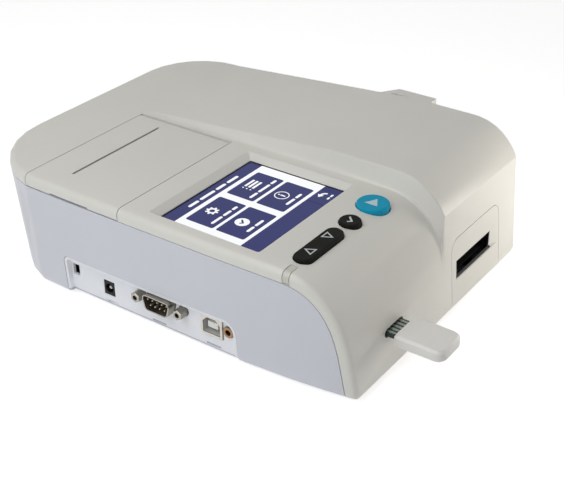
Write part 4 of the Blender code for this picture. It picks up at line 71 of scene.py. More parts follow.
# helpers for materials
def screenColour(red, green, blue):  # 0 to 255 as seen on a screen, to Blender's linear colour
    def channel(value):
        value /= 255
        return value / 12.92 if value <= 0.04045 else ((value + 0.055) / 1.055) ** 2.4

    return (channel(red), channel(green), channel(blue), 1.0)


def shaded(colour, factor):
    return tuple(min(1.0, value * factor) for value in colour[:3]) + (1.0,)


def addNode(material, kind, values=None, **settings):
    node = material.node_tree.nodes.new(kind)
    for key, value in settings.items():
        setattr(node, key, value)
    for key, value in (values or {}).items():
        node.inputs[key].default_value = value
    return node


def wire(material, output, target):
    material.node_tree.links.new(output, target)


def shaderOf(material):
    return material.node_tree.nodes["Principled BSDF"]


def startMaterial(name, sockets=None):
    material = bpy.data.materials.new(name)
    material.use_nodes = True
    for key, value in (sockets or {}).items():
        shaderOf(material).inputs[key].default_value = value
    return material


def coordinates(material, stretch=None, shift=None):
    place = addNode(material, "ShaderNodeTexCoord")
    if stretch is None and shift is None:
        return place.outputs["Object"]
    values = {"Scale": stretch or (1, 1, 1), "Location": shift or (0, 0, 0)}
    mapping = addNode(material, "ShaderNodeMapping", values)
    wire(material, place.outputs["Object"], mapping.inputs["Vector"])
    return mapping.outputs["Vector"]


def noise(material, scale, detail=2.0, stretch=None):  # scale in spots per metre
    texture = addNode(material, "ShaderNodeTexNoise", {"Scale": scale, "Detail": detail})
    wire(material, coordinates(material, stretch), texture.inputs["Vector"])
    return texture.outputs["Fac"]


def waves(material, direction, pitch, kind="BANDS", shift=None):  # pitch in metres
    settings = {"wave_type": kind, "wave_profile": "SIN"}
    settings["bands_direction" if kind == "BANDS" else "rings_direction"] = direction
    texture = addNode(material, "ShaderNodeTexWave", {"Scale": math.pi / (10 * pitch)}, **settings)
    wire(material, coordinates(material, None, shift), texture.inputs["Vector"])
    return texture.outputs["Fac"]


def between(material, factor, low, high, start=0.3, end=0.7):
    values = {"From Min": start, "From Max": end, "To Min": low, "To Max": high}
    spread = addNode(material, "ShaderNodeMapRange", values)
    wire(material, factor, spread.inputs["Value"])
    return spread.outputs["Result"]


def blendColours(material, factor, first, second):
    mix = addNode(material, "ShaderNodeMix", data_type="RGBA")
    wire(material, factor, mix.inputs[0])
    for socket, colour in ((mix.inputs[6], first), (mix.inputs[7], second)):
        if isinstance(colour, tuple):
            socket.default_value = colour
        else:
            wire(material, colour, socket)
    return mix.outputs[2]


def bump(material, height, depth, strength=1.0):  # depth in metres, on top of any bump before it
    normal = shaderOf(material).inputs["Normal"]
    node = addNode(material, "ShaderNodeBump", {"Distance": depth, "Strength": strength})
    wire(material, height, node.inputs["Height"])
    if normal.links:
        wire(material, normal.links[0].from_socket, node.inputs["Normal"])
    wire(material, node.outputs["Normal"], normal)


def pastPlane(material, axis, edge, below=False):  # 1 beyond a plane across the axis
    split = addNode(material, "ShaderNodeSeparateXYZ")
    wire(material, coordinates(material), split.inputs["Vector"])
    side = "LESS_THAN" if below else "GREATER_THAN"
    test = addNode(material, "ShaderNodeMath", {1: edge}, operation=side)
    wire(material, split.outputs[axis], test.inputs[0])
    return test.outputs[0]


usualLook = {  # for a finish whose own values don't say otherwise
    "change": 0.03,
    "patch": 18,
    "swing": 0.05,
    "smudge": 90,
    "ripple": 26,
    "rippleDepth": 0.0001,
    "coat": 0.0,
    "specular": 0.5,
    "scratch": 900,
    "scratchDepth": 0.00001,
    "dent": 160,
    "dentDepth": 0.00002,
}


def uneven(material, ownLook):  # broad colour change and finer change of gloss
    look = dict(usualLook, **ownLook)
    colour, change = look["colour"], look["change"]
    patches = between(material, noise(material, look["patch"], 3), 0, 1)
    tint = blendColours(material, patches, shaded(colour, 1 - change), shaded(colour, 1 + change))
    wire(material, tint, shaderOf(material).inputs["Base Color"])
    rough, swing = look["roughness"], look["swing"]
    smudges = noise(material, look["smudge"], 4)
    gloss = between(material, smudges, rough - swing, rough + swing)
    wire(material, gloss, shaderOf(material).inputs["Roughness"])
    return tint


def plastic(name, ownLook):
    look = dict(usualLook, **ownLook)
    sockets = {"Coat Weight": look["coat"], "Coat Roughness": 0.2, "IOR": 1.49}
    sockets["Specular IOR Level"] = look["specular"]
    material = startMaterial(name, sockets)
    uneven(material, look)
    bump(material, noise(material, look["ripple"], 1), look["rippleDepth"])
    bump(material, noise(material, look["grain"], 2), look["grainDepth"])
    return material


def metal(name, ownLook):
    look = dict(usualLook, **ownLook)
    material = startMaterial(name, {"Metallic": 1.0})
    uneven(material, look)
    if "brushed" in look:
        scratches = noise(material, look["scratch"], 3, look["brushed"])
        bump(material, scratches, look["scratchDepth"])
    bump(material, noise(material, look["dent"], 2), look["dentDepth"])
    return material


# finishes of the CAD nodes
casePlastic = {
    "colour": screenColour(229, 228, 221),
    "roughness": 0.42,
    "change": 0.012,
    "grain": 2600,
    "grainDepth": 0.000012,
    "coat": 0.12,
}
# The lower case's copy of the case plastic, bluer and a little darker: painted cool shade of the left
# wall, which faces the cool light.
lowerPlasticCoolShade = dict(casePlastic, colour=screenColour(217, 219, 227))
chipPlastic = dict(casePlastic, colour=screenColour(242, 241, 237), coat=0.0)
panelPlastic = dict(casePlastic, colour=screenColour(246, 248, 252), roughness=0.5, coat=0.0)
innerPlastic = {
    "colour": screenColour(150, 154, 158),
    "roughness": 0.55,
    "grain": 1800,
    "grainDepth": 0.00003,
}
darkPlastic = {
    "colour": screenColour(26, 26, 28),
    "roughness": 0.5,
    "grain": 2200,
    "grainDepth": 0.00002,
    "specular": 0.2,
}
keyRubber = {
    "colour": screenColour(32, 33, 30),
    "roughness": 0.6,
    "grain": 2400,
    "grainDepth": 0.00003,
    "specular": 0.05,
}
startRubber = dict(keyRubber, colour=screenColour(22, 166, 202), roughness=0.5, specular=0.12)
gearPlastic = {
    "colour": screenColour(226, 222, 206),
    "roughness": 0.4,
    "grain": 1500,
    "grainDepth": 0.00001,
}
feetRubber = {
    "colour": screenColour(52, 52, 54),
    "roughness": 0.85,
    "grain": 1400,
    "grainDepth": 0.00006,
}
platenRubber = {
    "colour": screenColour(60, 60, 64),
    "roughness": 0.75,
    "grain": 3000,
    "grainDepth": 0.00002,
}
chipBoard = {
    "colour": screenColour(38, 58, 56),
    "roughness": 0.35,
    "grain": 2000,
    "grainDepth": 0.00001,
}
steel = {"colour": screenColour(200, 201, 204), "roughness": 0.3, "brushed": (1, 1, 12)}
leadScrew = dict(steel, pitch=0.0008, threadDepth=0.00025)
sheetSteel = {
    "colour": screenColour(188, 190, 194),
    "roughness": 0.42,
    "brushed": (1, 14, 1),
    "dentDepth": 0.00004,
}
nickel = {"colour": screenColour(160, 156, 147), "roughness": 0.34, "swing": 0.08}
probeBrass = {"colour": screenColour(150, 120, 90), "roughness": 0.42, "swing": 0.08}
usbInside = {
    "colour": screenColour(206, 206, 202),
    "roughness": 0.5,
    "grain": 2000,
    "grainDepth": 0.00002,
}
usbEdge = {"colour": screenColour(186, 183, 176), "roughness": 0.34, "outsideOf": -0.0817}
pinMetal = {"colour": screenColour(222, 212, 192), "roughness": 0.3, "outsideOf": -0.0812}
brass = {"colour": screenColour(196, 150, 86), "roughness": 0.3, "swing": 0.08}
aluminium = {"colour": screenColour(206, 208, 210), "roughness": 0.4, "brushed": (16, 1, 1)}
boardLook = {
    "colour": screenColour(30, 92, 54),
    "chipColour": screenColour(32, 32, 34),
    "chipLevel": 0.00725,
    "roughness": 0.36,
    "trace": 0.0016,
    "traceRun": 3.0,
    "traceGap": 0.06,
    "traceBlur": 0.2,
    "traceLight": 1.9,
    "traceDepth": 0.00003,
}
paperLook = {
    "colour": screenColour(243, 243, 240),
    "lineColour": screenColour(196, 196, 190),
    "lineShare": 0.35,
    "roughness": 0.85,
    "change": 0.01,
    "turn": 0.0002,
    "turnDepth": 0.00004,
    "endDepth": 0.00005,
    "fibre": 2400,
    "fibreDepth": 0.00001,
}
touchGlass = {"colour": screenColour(14, 15, 20), "smudge": 60, "clear": 0.06, "dull": 0.16}
lensLook = {"colour": screenColour(150, 170, 190), "smudge": 300, "clear": 0.02, "dull": 0.08}
lightPipe = {
    "colour": screenColour(230, 229, 219),
    "roughness": 0.3,
    "grain": 1500,
    "grainDepth": 0.00001,
}


def circuitBoard(name, look):
    material = startMaterial(name, {"IOR": 1.55})
    mask = uneven(material, look)
    values = {"Scale": 1 / look["trace"], "Brick Width": look["traceRun"], "Row Height": 1.0}
    values.update({"Mortar Size": look["traceGap"], "Mortar Smooth": look["traceBlur"]})
    tracks = addNode(material, "ShaderNodeTexBrick", values)
    wire(material, coordinates(material), tracks.inputs["Vector"])
    copper = shaded(look["colour"], look["traceLight"])
    lit = blendColours(material, tracks.outputs["Fac"], mask, copper)
    raised = pastPlane(material, "Z", look["chipLevel"])
    colour = blendColours(material, raised, lit, look["chipColour"])
    wire(material, colour, shaderOf(material).inputs["Base Color"])
    bump(material, tracks.outputs["Fac"], look["traceDepth"])
    return material


def paperRoll(name, look):
    material = startMaterial(name, {"Specular IOR Level": 0.3})
    tint = uneven(material, look)
    low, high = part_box("paper_roll")
    centre = (low + high) / 2
    rings = waves(material, "X", look["turn"], "RINGS", (-centre.x, -centre.y, -centre.z))
    ends = addNode(material, "ShaderNodeMath", operation="MAXIMUM")
    wire(material, pastPlane(material, "X", low.x + look["endDepth"], True), ends.inputs[0])
    wire(material, pastPlane(material, "X", high.x - look["endDepth"]), ends.inputs[1])
    onEnds = addNode(material, "ShaderNodeMath", operation="MULTIPLY")
    wire(material, rings, onEnds.inputs[0])
    wire(material, ends.outputs[0], onEnds.inputs[1])
    turns = onEnds.outputs[0]
    lines = between(material, turns, 0, look["lineShare"], 0.2, 0.9)
    colour = blendColours(material, lines, tint, look["lineColour"])
    wire(material, colour, shaderOf(material).inputs["Base Color"])
    bump(material, turns, look["turnDepth"])
    bump(material, noise(material, look["fibre"], 3), look["fibreDepth"])
    return material


def darkGlass(name, look):
    sockets = {"Base Color": look["colour"], "Coat Weight": 1.0, "Coat Roughness": 0.03, "IOR": 1.52}
    material = startMaterial(name, sockets)
    gloss = between(material, noise(material, look["smudge"], 4), look["clear"], look["dull"])
    wire(material, gloss, shaderOf(material).inputs["Roughness"])
    return material


def milkyPlastic(name, look):
    sockets = {"Transmission Weight": 0.25, "IOR": 1.49, "Coat Weight": 0.3, "Coat Roughness": 0.15}
    material = startMaterial(name, sockets)
    uneven(material, look)
    bump(material, noise(material, look["grain"], 2), look["grainDepth"])
    return material


def lensGlass(name, look):
    sockets = {"Transmission Weight": 0.85, "IOR": 1.52, "Coat Weight": 0.6}
    sockets["Base Color"] = look["colour"]
    material = startMaterial(name, sockets)
    gloss = between(material, noise(material, look["smudge"], 3), look["clear"], look["dull"])
    wire(material, gloss, shaderOf(material).inputs["Roughness"])
    return material


def twoFinish(name, first, second):  # one node, the second finish as metal outside of a plane across X
    material = startMaterial(name, {"Specular IOR Level": first.get("specular", 0.5)})
    tint = uneven(material, first)
    beyond = pastPlane(material, "X", second["outsideOf"], True)
    shader = shaderOf(material)
    wire(material, blendColours(material, beyond, tint, second["colour"]), shader.inputs["Base Color"])
    wire(material, beyond, shader.inputs["Metallic"])
    gloss = between(material, beyond, first["roughness"], second["roughness"], 0, 1)
    wire(material, gloss, shader.inputs["Roughness"])
    bump(material, noise(material, first["grain"], 2), first["grainDepth"])
    return material


slotMouthShade = {  # lower lip of the card slot, painted near-black as painted shade of the deep slot, in the tone of the dark guide behind it
    "low": (0.0128, 0.01706),
    "high": (0.0489, 0.0177),
    "colour": screenColour(9, 9, 10),
}


# Case plastic with the slot's lower lip painted near-black: painted shade inside the card slot.
def slotPanelShaded(name, look):
    material = plastic(name, look)
    base = shaderOf(material).inputs["Base Color"]
    mask = None
    for axis, side in (("X", 0), ("Z", 1)):
        for edge, below in ((slotMouthShade["low"][side], False), (slotMouthShade["high"][side], True)):
            inside = pastPlane(material, axis, edge, below)
            if mask:
                both = addNode(material, "ShaderNodeMath", operation="MULTIPLY")
                wire(material, mask, both.inputs[0])
                wire(material, inside, both.inputs[1])
                inside = both.outputs[0]
            mask = inside
    # inside the mask the colour turns near-black, as painted shade of the slot
    wire(material, blendColours(material, mask, base.links[0].from_socket, slotMouthShade["colour"]), base)
    return material


def threaded(name, look):
    material = metal(name, look)
    bump(material, waves(material, "Y", look["pitch"]), look["threadDepth"])
    return material


finishes = {
    "case": plastic("case_plastic", casePlastic),
    "slotPanelShaded": slotPanelShaded("slot_panel_painted_shade", dict(casePlastic, coat=0.0)),
    "panel": plastic("panel_plastic", panelPlastic),
    "inner": plastic("inner_plastic", innerPlastic),
    "dark": plastic("dark_plastic", darkPlastic),
    "keyBlack": plastic("key_black", keyRubber),
    "keyTeal": plastic("key_teal", startRubber),
    "gear": plastic("gear_plastic", gearPlastic),
    "feet": plastic("feet_rubber", feetRubber),
    "platen": plastic("platen_rubber", platenRubber),
    "steel": metal("steel", steel),
    "sheetSteel": metal("sheet_steel", sheetSteel),
    "nickel": metal("nickel", nickel),
    "brass": metal("brass", brass),
    "aluminium": metal("aluminium", aluminium),
    "thread": threaded("screw_thread", leadScrew),
    "board": circuitBoard("circuit_board", boardLook),
    "paper": paperRoll("paper", paperLook),
    "glass": darkGlass("touch_glass", touchGlass),
    "milky": milkyPlastic("light_pipe", lightPipe),
    "lens": lensGlass("lens", lensLook),
    "pins": twoFinish("insulator_and_pins", darkPlastic, pinMetal),
    "usb": twoFinish("usb_metal_and_inside", usbInside, usbEdge),
    "probe": metal("probe_brass", probeBrass),
    # lower case plastic, with the painted cool shade of the left wall in its colour
    "lower": plastic("lower_case_cool_shade_plastic", lowerPlasticCoolShade),
    "chip": plastic("chip_plastic", chipPlastic),
    "chipBoard": plastic("chip_board", chipBoard),
}

nodeFinish = {
    "case": ("upper_cover", "printer_cover", "side_cowl"),
    "slotPanelShaded": ("card_slot_panel",),
    "lower": ("lower_case",),
    "chip": ("code_chip_body", "usb_tongue"),
    "usb": ("usb_socket",),
    "probe": ("probe_jack",),
    "panel": ("connector_panel",),
    "inner": ("printer_bay",),
    "dark": ("display_module", "paper_spindle", "card_guide", "optics_housing", "light_sensor",
             "chip_socket", "power_jack", "thermal_head", "stepper_motor"),
    "keyBlack": ("ok_key", "rocker_key"),
    "keyTeal": ("start_key",),
    "gear": ("platen_gear",),
    "platen": ("platen_roller",),
    "steel": ("printer_cover_pin", "platen_shaft", "guide_rod_left", "guide_rod_right",
              "board_screw_left", "board_screw_right", "printer_motor"),
    "sheetSteel": ("rail_plate_front", "rail_plate_rear"),
    "nickel": ("serial_shell", "serial_jackscrew_front", "serial_jackscrew_rear", "power_jack_pin"),
    "brass": ("motor_pinion", "screw_nut"),
    "aluminium": ("display_frame",),
    "thread": ("lead_screw",),
    "board": ("main_board", "keypad_board"),
    "paper": ("paper_roll",),
    "glass": ("touch_panel",),
    "milky": ("status_light_pipe", "dome_sheet"),
    "lens": ("objective_lens",),
    "pins": ("serial_insulator",),
    "chipBoard": ("code_chip_board",),
}
for corner in ("front_left", "front_right", "rear_left", "rear_right"):
    nodeFinish["feet"] = nodeFinish.get("feet", ()) + ("rubber_foot_" + corner,)
    nodeFinish["steel"] += ("case_screw_" + corner,)


softness = {"angle": 28, "merge": 1e-6}
brow = {"y": -0.0897, "z": 0.0547, "reach": 0.0007}  # crease from the raised zone to the front


def softShading(name, crease=None):
    # Joins split corners and smooths every edge flatter than the angle, but for one crease along X.
    tree = bpy.data.node_groups.new(name, "GeometryNodeTree")
    for way in ("INPUT", "OUTPUT"):
        tree.interface.new_socket("Geometry", in_out=way, socket_type="NodeSocketGeometry")
    start, end = tree.nodes.new("NodeGroupInput"), tree.nodes.new("NodeGroupOutput")
    merge = tree.nodes.new("GeometryNodeMergeByDistance")
    merge.inputs["Distance"].default_value = softness["merge"]
    faces = tree.nodes.new("GeometryNodeSetShadeSmooth")
    edges = tree.nodes.new("GeometryNodeSetShadeSmooth")
    edges.domain = "EDGE"
    angle = tree.nodes.new("GeometryNodeInputMeshEdgeAngle")
    gentle = tree.nodes.new("FunctionNodeCompare")
    gentle.operation = "LESS_THAN"
    gentle.inputs[1].default_value = math.radians(softness["angle"])
    plain = tree.nodes.new("GeometryNodeRemoveAttribute")
    plain.inputs["Name"].default_value = "custom_normal"
    tree.links.new(start.outputs[0], plain.inputs["Geometry"])
    tree.links.new(plain.outputs["Geometry"], merge.inputs["Geometry"])
    tree.links.new(merge.outputs["Geometry"], faces.inputs["Geometry"])
    tree.links.new(faces.outputs["Geometry"], edges.inputs["Geometry"])
    tree.links.new(angle.outputs["Unsigned Angle"], gentle.inputs[0])
    smooth = gentle.outputs[0]
    if crease:
        place = tree.nodes.new("GeometryNodeInputPosition")
        away = tree.nodes.new("ShaderNodeVectorMath")
        away.operation = "MULTIPLY_ADD"
        away.inputs[1].default_value = (0, 1, 1)
        away.inputs[2].default_value = (0, -crease["y"], -crease["z"])
        far = tree.nodes.new("ShaderNodeVectorMath")
        far.operation = "LENGTH"
        beyond = tree.nodes.new("FunctionNodeCompare")
        beyond.operation = "GREATER_THAN"
        beyond.inputs[1].default_value = crease["reach"]
        both = tree.nodes.new("FunctionNodeBooleanMath")
        both.operation = "AND"
        tree.links.new(place.outputs[0], away.inputs[0])
        tree.links.new(away.outputs[0], far.inputs[0])
        tree.links.new(far.outputs["Value"], beyond.inputs[0])
        tree.links.new(smooth, both.inputs[0])
        tree.links.new(beyond.outputs[0], both.inputs[1])
        smooth = both.outputs[0]
    tree.links.new(smooth, edges.inputs["Shade Smooth"])
    tree.links.new(edges.outputs["Geometry"], end.inputs[0])
    return tree


shading = softShading("soft_shading")
coverShading = softShading("cover_shading", brow)


def smoothPiece(piece):
    modifier = piece.modifiers.new("soft_shading", "NODES")
    modifier.node_group = coverShading if piece == nodes["upper_cover"] else shading


for finish, names in nodeFinish.items():
    for name in names:
        node = nodes[name]
        for slot in node.material_slots:
            slot.material = finishes[finish]
        smoothPiece(node)
print("finishes on", sum(len(names) for names in nodeFinish.values()), "nodes")


# flat printed and inlaid shapes
def onCircle(centre, radius, angle):
    return (centre[0] + radius * math.cos(angle), centre[1] + radius * math.sin(angle))


def circleLoop(centre, radius, count=32):
    return [onCircle(centre, radius, 2 * math.pi * k / count) for k in range(count)]


def roundedBox(centre, width, height, corner, steps=5):
    corner = min(corner, width / 2, height / 2)
    points = []
    for index, (sideX, sideY) in enumerate(((1, 1), (-1, 1), (-1, -1), (1, -1))):
        for step in range(steps + 1):
            angle = math.pi / 2 * (index + step / steps)
            x = centre[0] + sideX * (width / 2 - corner) + corner * math.cos(angle)
            y = centre[1] + sideY * (height / 2 - corner) + corner * math.sin(angle)
            points.append((x, y))
    return points


def insetLoop(loop, distance):  # a smaller loop inside a triangle or other convex loop
    inner = []
    count = len(loop)
    for k in range(count):
        before, here, after = (Vector(loop[(k + shift) % count]) for shift in (-1, 0, 1))
        first = (here - before).normalized()
        second = (after - here).normalized()
        inward = Vector((-first.y - second.y, first.x + second.x)).normalized()
        share = math.cos(first.angle(second) / 2)
        inner.append(tuple(here + inward * distance / share))
    return inner


def plate(name, loops, place, thickness, finish, body, cells=0.0):
    # Fills closed loops, with holes where a loop lies in another, and gives them a thickness.
    # place turns a flat point into the lower and the upper point of the plate, and cells is the
    # size of the squares that a plate is cut into where it has to follow a curved piece.
    shape = bmesh.new()
    for loop in loops:
        made = [shape.verts.new((x, y, 0)) for x, y in loop]
        for k, vert in enumerate(made):
            shape.edges.new((vert, made[(k + 1) % len(made)]))
    up = (0, 0, 1)
    bmesh.ops.triangle_fill(shape, use_beauty=True, edges=shape.edges[:], normal=up)
    if cells:
        for axis in (0, 1):
            low = min(vert.co[axis] for vert in shape.verts)
            high = max(vert.co[axis] for vert in shape.verts)
            for k in range(1, int((high - low) / cells) + 1):
                point, normal = Vector((0, 0, 0)), Vector((0, 0, 0))
                point[axis], normal[axis] = low + k * cells, 1
                parts = shape.verts[:] + shape.edges[:] + shape.faces[:]
                bmesh.ops.bisect_plane(shape, geom=parts, plane_co=point, plane_no=normal)
    bmesh.ops.recalc_face_normals(shape, faces=shape.faces[:])
    if shape.faces[:] and sum(face.normal.z for face in shape.faces) < 0:
        bmesh.ops.reverse_faces(shape, faces=shape.faces[:])
    upper = bmesh.ops.extrude_face_region(shape, geom=shape.faces[:])
    raised = {item for item in upper["geom"] if isinstance(item, bmesh.types.BMVert)}
    for vert in shape.verts:
        low, high = place(vert.co.x, vert.co.y, thickness)
        vert.co = high if vert in raised else low
    bmesh.ops.recalc_face_normals(shape, faces=shape.faces[:])
    mesh = bpy.data.meshes.new(name)
    shape.to_mesh(mesh)
    shape.free()
    piece = bpy.data.objects.new(name, mesh)
    bpy.context.scene.collection.objects.link(piece)
    mesh.materials.append(finish)
    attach(piece, body)
    return piece


def touch(node, start, direction):  # where a ray first meets a node
    hit, point, normal, _ = nodes[node].ray_cast(Vector(start), Vector(direction))
    return (point, normal) if hit else (None, None)


# screen picture under the glass
screen = {
    "width": 0.0686,
    "height": 0.0555,
    "border": 0.0006,
    "layer": 0.00004,
    "indigo": screenColour(54, 58, 108),
    "white": screenColour(252, 253, 255),
    "divider": screenColour(34, 36, 74),
    "unlit": screenColour(10, 10, 14),
    "glow": 1.0,
    "rowPitch": 0.00024,
    "rowShade": 0.94,
}


def litFinish(name, colour):  # self-lit picture with the fine rows of the display
    sockets = {"Base Color": screen["unlit"], "Emission Strength": screen["glow"], "Roughness": 0.12}
    sockets.update({"Coat Weight": 0.04, "Coat Roughness": 0.04, "Specular IOR Level": 0.05})
    material = startMaterial(name, sockets)
    rows = between(material, waves(material, "Y", screen["rowPitch"]), 0, 1, 0, 1)
    light = blendColours(material, rows, shaded(colour, screen["rowShade"]), shaded(colour, 1.0))
    wire(material, light, shaderOf(material).inputs["Emission Color"])
    return material


picture = {
    "indigo": litFinish("screen_indigo", screen["indigo"]),
    "white": litFinish("screen_white", screen["white"]),
    "divider": litFinish("screen_divider", screen["divider"]),
}
glassLow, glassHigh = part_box("touch_panel")
screenMiddle = (glassLow + glassHigh) / 2
pictureWidth = screen["width"] - 2 * screen["border"]
pictureHeight = screen["height"] - 2 * screen["border"]


def onScreen(across, down):  # shares of the picture, from its upper left corner, to metres from its middle
    return ((across - 0.5) * pictureWidth, (0.5 - down) * pictureHeight)


def screenBox(left, right, top, bottom, corner=0.0):
    low, high = onScreen(left, bottom), onScreen(right, top)
    centre = ((low[0] + high[0]) / 2, (low[1] + high[1]) / 2)
    return roundedBox(centre, high[0] - low[0], high[1] - low[1], max(corner, 0.00002), 4 if corner else 1)


def screenLayer(level):
    def place(x, y, thickness):
        base = glassHigh.z + level * screen["layer"]
        where = Vector((screenMiddle.x + x, screenMiddle.y + y, base))
        return where, where + Vector((0, 0, thickness))

    return place


def showOnScreen(name, loops, level, finish):
    return plate(name, loops, screenLayer(level), screen["layer"], picture[finish], "case")


def gearLoop(centre, tip, root, teeth):
    points = []
    for k in range(teeth):
        for radius, share in ((root, -0.30), (tip, -0.17), (tip, 0.17), (root, 0.30)):
            points.append(onCircle(centre, radius, 2 * math.pi * (k + share) / teeth))
    return points


def captionBars(across, down, lengths, height, gap):  # plain dashes where words would be
    x, y = onScreen(across, down)
    total = sum(lengths) + gap * (len(lengths) - 1)
    x -= total / 2
    loops = []
    for length in lengths:
        loops.append(roundedBox((x + length / 2, y), length, height, height / 2, 3))
        x += length + gap
    return loops


def arcBand(centre, radius, width, start, end, steps=12):
    turns = [math.radians(start + (end - start) * k / steps) for k in range(steps + 1)]
    outer = [onCircle(centre, radius + width / 2, turn) for turn in turns]
    inner = [onCircle(centre, radius - width / 2, turn) for turn in turns]
    return outer + inner[::-1]


def around(centre, points):
    return [(centre[0] + x, centre[1] + y) for x, y in points]


page = {  # places in shares of the picture from its upper left corner, sizes in metres
    "corner": 0.0013,
    "sheet": (0.1242, 0.7941),
    "columns": ((0.1024, 0.471), (0.5385, 0.9052)),
    "rows": ((0.1682, 0.4489), (0.4782, 0.7608)),
    "tileCorner": 0.001,
    "divider": (0.7658, 0.7697, 0.797, 0.998),
}
gearSymbol = {"place": (0.2843, 0.2689), "tip": 0.0032, "root": 0.0024, "hole": 0.0013, "teeth": 8}
listSymbol = {
    "rows": (0.2298, 0.2689, 0.3071),
    "dot": 0.6637,
    "dotRadius": 0.00045,
    "bar": (0.6861, 0.7937),
    "halfBar": 0.0112,
    "corner": 0.0002,
}
checkSymbol = {
    "place": (0.2784, 0.5838),
    "radius": 0.0034,
    "tick": (
        (-0.0019, 0.0001),
        (-0.0013, 0.0007),
        (-0.0005, -0.0001),
        (0.0014, 0.0017),
        (0.002, 0.0011),
        (-0.0005, -0.0014),
    ),
}
ringSymbol = {
    "place": (0.7223, 0.5838),
    "outer": 0.0036,
    "inner": 0.0031,
    "dot": ((0, 0.0016), 0.0005),
    "stem": ((0, -0.0006), 0.0009, 0.0026, 0.0002),
}
backSymbol = {
    "place": (0.8856, 0.8537),
    "head": ((-0.0027, 0.0003), (-0.0003, 0.0019), (-0.0003, -0.0013)),
    "tail": ((-0.0003, -0.0022), 0.0025, 0.0011, 90, 12),
}
titleBars = {  # each row has its place and the lengths of its dashes
    "rows": (
        ((0.5072, 0.0675), (0.007, 0.0105, 0.007, 0.0082), 0.0016, 0.0012),
        ((0.8895, 0.9339), (0.0021, 0.0024), 0.001, 0.0006),
    ),
}
tileBars = {
    "height": 0.0014,
    "gap": 0.0009,
    "rows": (
        ((0.2863, 0.3951), (0.0076, 0.0056, 0.0036)),
        ((0.7223, 0.3892), (0.0058, 0.0088, 0.0042)),
        ((0.2863, 0.708), (0.0052, 0.006)),
        ((0.7223, 0.708), (0.0066, 0.0046)),
    ),
}


def makePage():
    backdrop = roundedBox((0, 0), pictureWidth, pictureHeight, page["corner"])
    showOnScreen("screen_backdrop", [backdrop], 0, "indigo")
    showOnScreen("screen_sheet", [screenBox(0, 1, *page["sheet"])], 1, "white")
    tiles = []
    for row in page["rows"]:
        for column in page["columns"]:
            tiles.append(screenBox(*column, *row, page["tileCorner"]))
    showOnScreen("screen_tiles", tiles, 2, "indigo")
    showOnScreen("screen_divider", [screenBox(*page["divider"])], 1, "divider")


def makeGearSymbol():
    look = gearSymbol
    place = onScreen(*look["place"])
    rim = gearLoop(place, look["tip"], look["root"], look["teeth"])
    showOnScreen("screen_gear_symbol", [rim, circleLoop(place, look["hole"])], 3, "white")


def makeListSymbol():
    look = listSymbol
    lines = []
    for down in look["rows"]:
        lines.append(circleLoop(onScreen(look["dot"], down), look["dotRadius"], 12))
        ends = (down - look["halfBar"], down + look["halfBar"])
        lines.append(screenBox(*look["bar"], *ends, look["corner"]))
    showOnScreen("screen_list_symbol", lines, 3, "white")


def makeCheckSymbol():
    disc = onScreen(*checkSymbol["place"])
    loops = [circleLoop(disc, checkSymbol["radius"], 36), around(disc, checkSymbol["tick"])]
    showOnScreen("screen_check_symbol", loops, 3, "white")


def makeRingSymbol():
    ring = onScreen(*ringSymbol["place"])
    dotPlace, dotRadius = ringSymbol["dot"]
    stemPlace, width, height, corner = ringSymbol["stem"]
    loops = [circleLoop(ring, ringSymbol["outer"], 36), circleLoop(ring, ringSymbol["inner"], 36)]
    loops.append(circleLoop(around(ring, [dotPlace])[0], dotRadius, 14))
    loops.append(roundedBox(around(ring, [stemPlace])[0], width, height, corner))
    showOnScreen("screen_ring_symbol", loops, 3, "white")


def makeBackSymbol():
    back = onScreen(*backSymbol["place"])
    tailPlace, radius, width, start, end = backSymbol["tail"]
    showOnScreen("screen_back_arrow", [around(back, backSymbol["head"])], 1, "white")
    tail = arcBand(around(back, [tailPlace])[0], radius, width, start, end)
    showOnScreen("screen_back_tail", [tail], 1, "white")


def makeCaptions():
    titles = []
    for place, lengths, height, gap in titleBars["rows"]:
        titles += captionBars(*place, lengths, height, gap)
    showOnScreen("screen_title_bars", titles, 1, "white")
    bars = []
    for place, lengths in tileBars["rows"]:
        bars += captionBars(*place, lengths, tileBars["height"], tileBars["gap"])
    showOnScreen("screen_captions", bars, 3, "white")


makePage()
makeGearSymbol()
makeListSymbol()
makeCheckSymbol()
makeRingSymbol()
makeBackSymbol()
makeCaptions()
print("screen picture made")


# symbols on the keys
symbols = {
    "pale": screenColour(206, 212, 212),
    "paleTeal": screenColour(196, 224, 234),
    "lift": 0.00003,
    "ink": 0.00006,
    "line": 0.0006,
    "cells": 0.001,
    "above": 0.01,
    "rockerMarks": (("rocker_up_mark", -0.0072, 1), ("rocker_down_mark", 0.0072, -1)),
    "triangle": {"half": 0.0027, "foot": 0.0023, "tip": 0.0026},
    "tick": (
        (-0.0024, 0.0001),
        (-0.0018, 0.0007),
        (-0.0006, -0.0006),
        (0.0018, 0.0018),
        (0.0024, 0.0012),
        (-0.0006, -0.0018),
    ),
    "start": ((-0.002, -0.0033), (0.0038, 0.0), (-0.002, 0.0033)),
}
inkLook = {
    "roughness": 0.45,
    "patch": 900,
    "change": 0.05,
    "grain": 3000,
    "grainDepth": 0.00001,
}


def inkFinish(name, colour):
    material = startMaterial(name, {"IOR": 1.5})
    uneven(material, dict(inkLook, colour=colour))
    bump(material, noise(material, inkLook["grain"], 2), inkLook["grainDepth"])
    return material


inkPale = inkFinish("key_ink", symbols["pale"])
inkTeal = inkFinish("start_key_ink", symbols["paleTeal"])


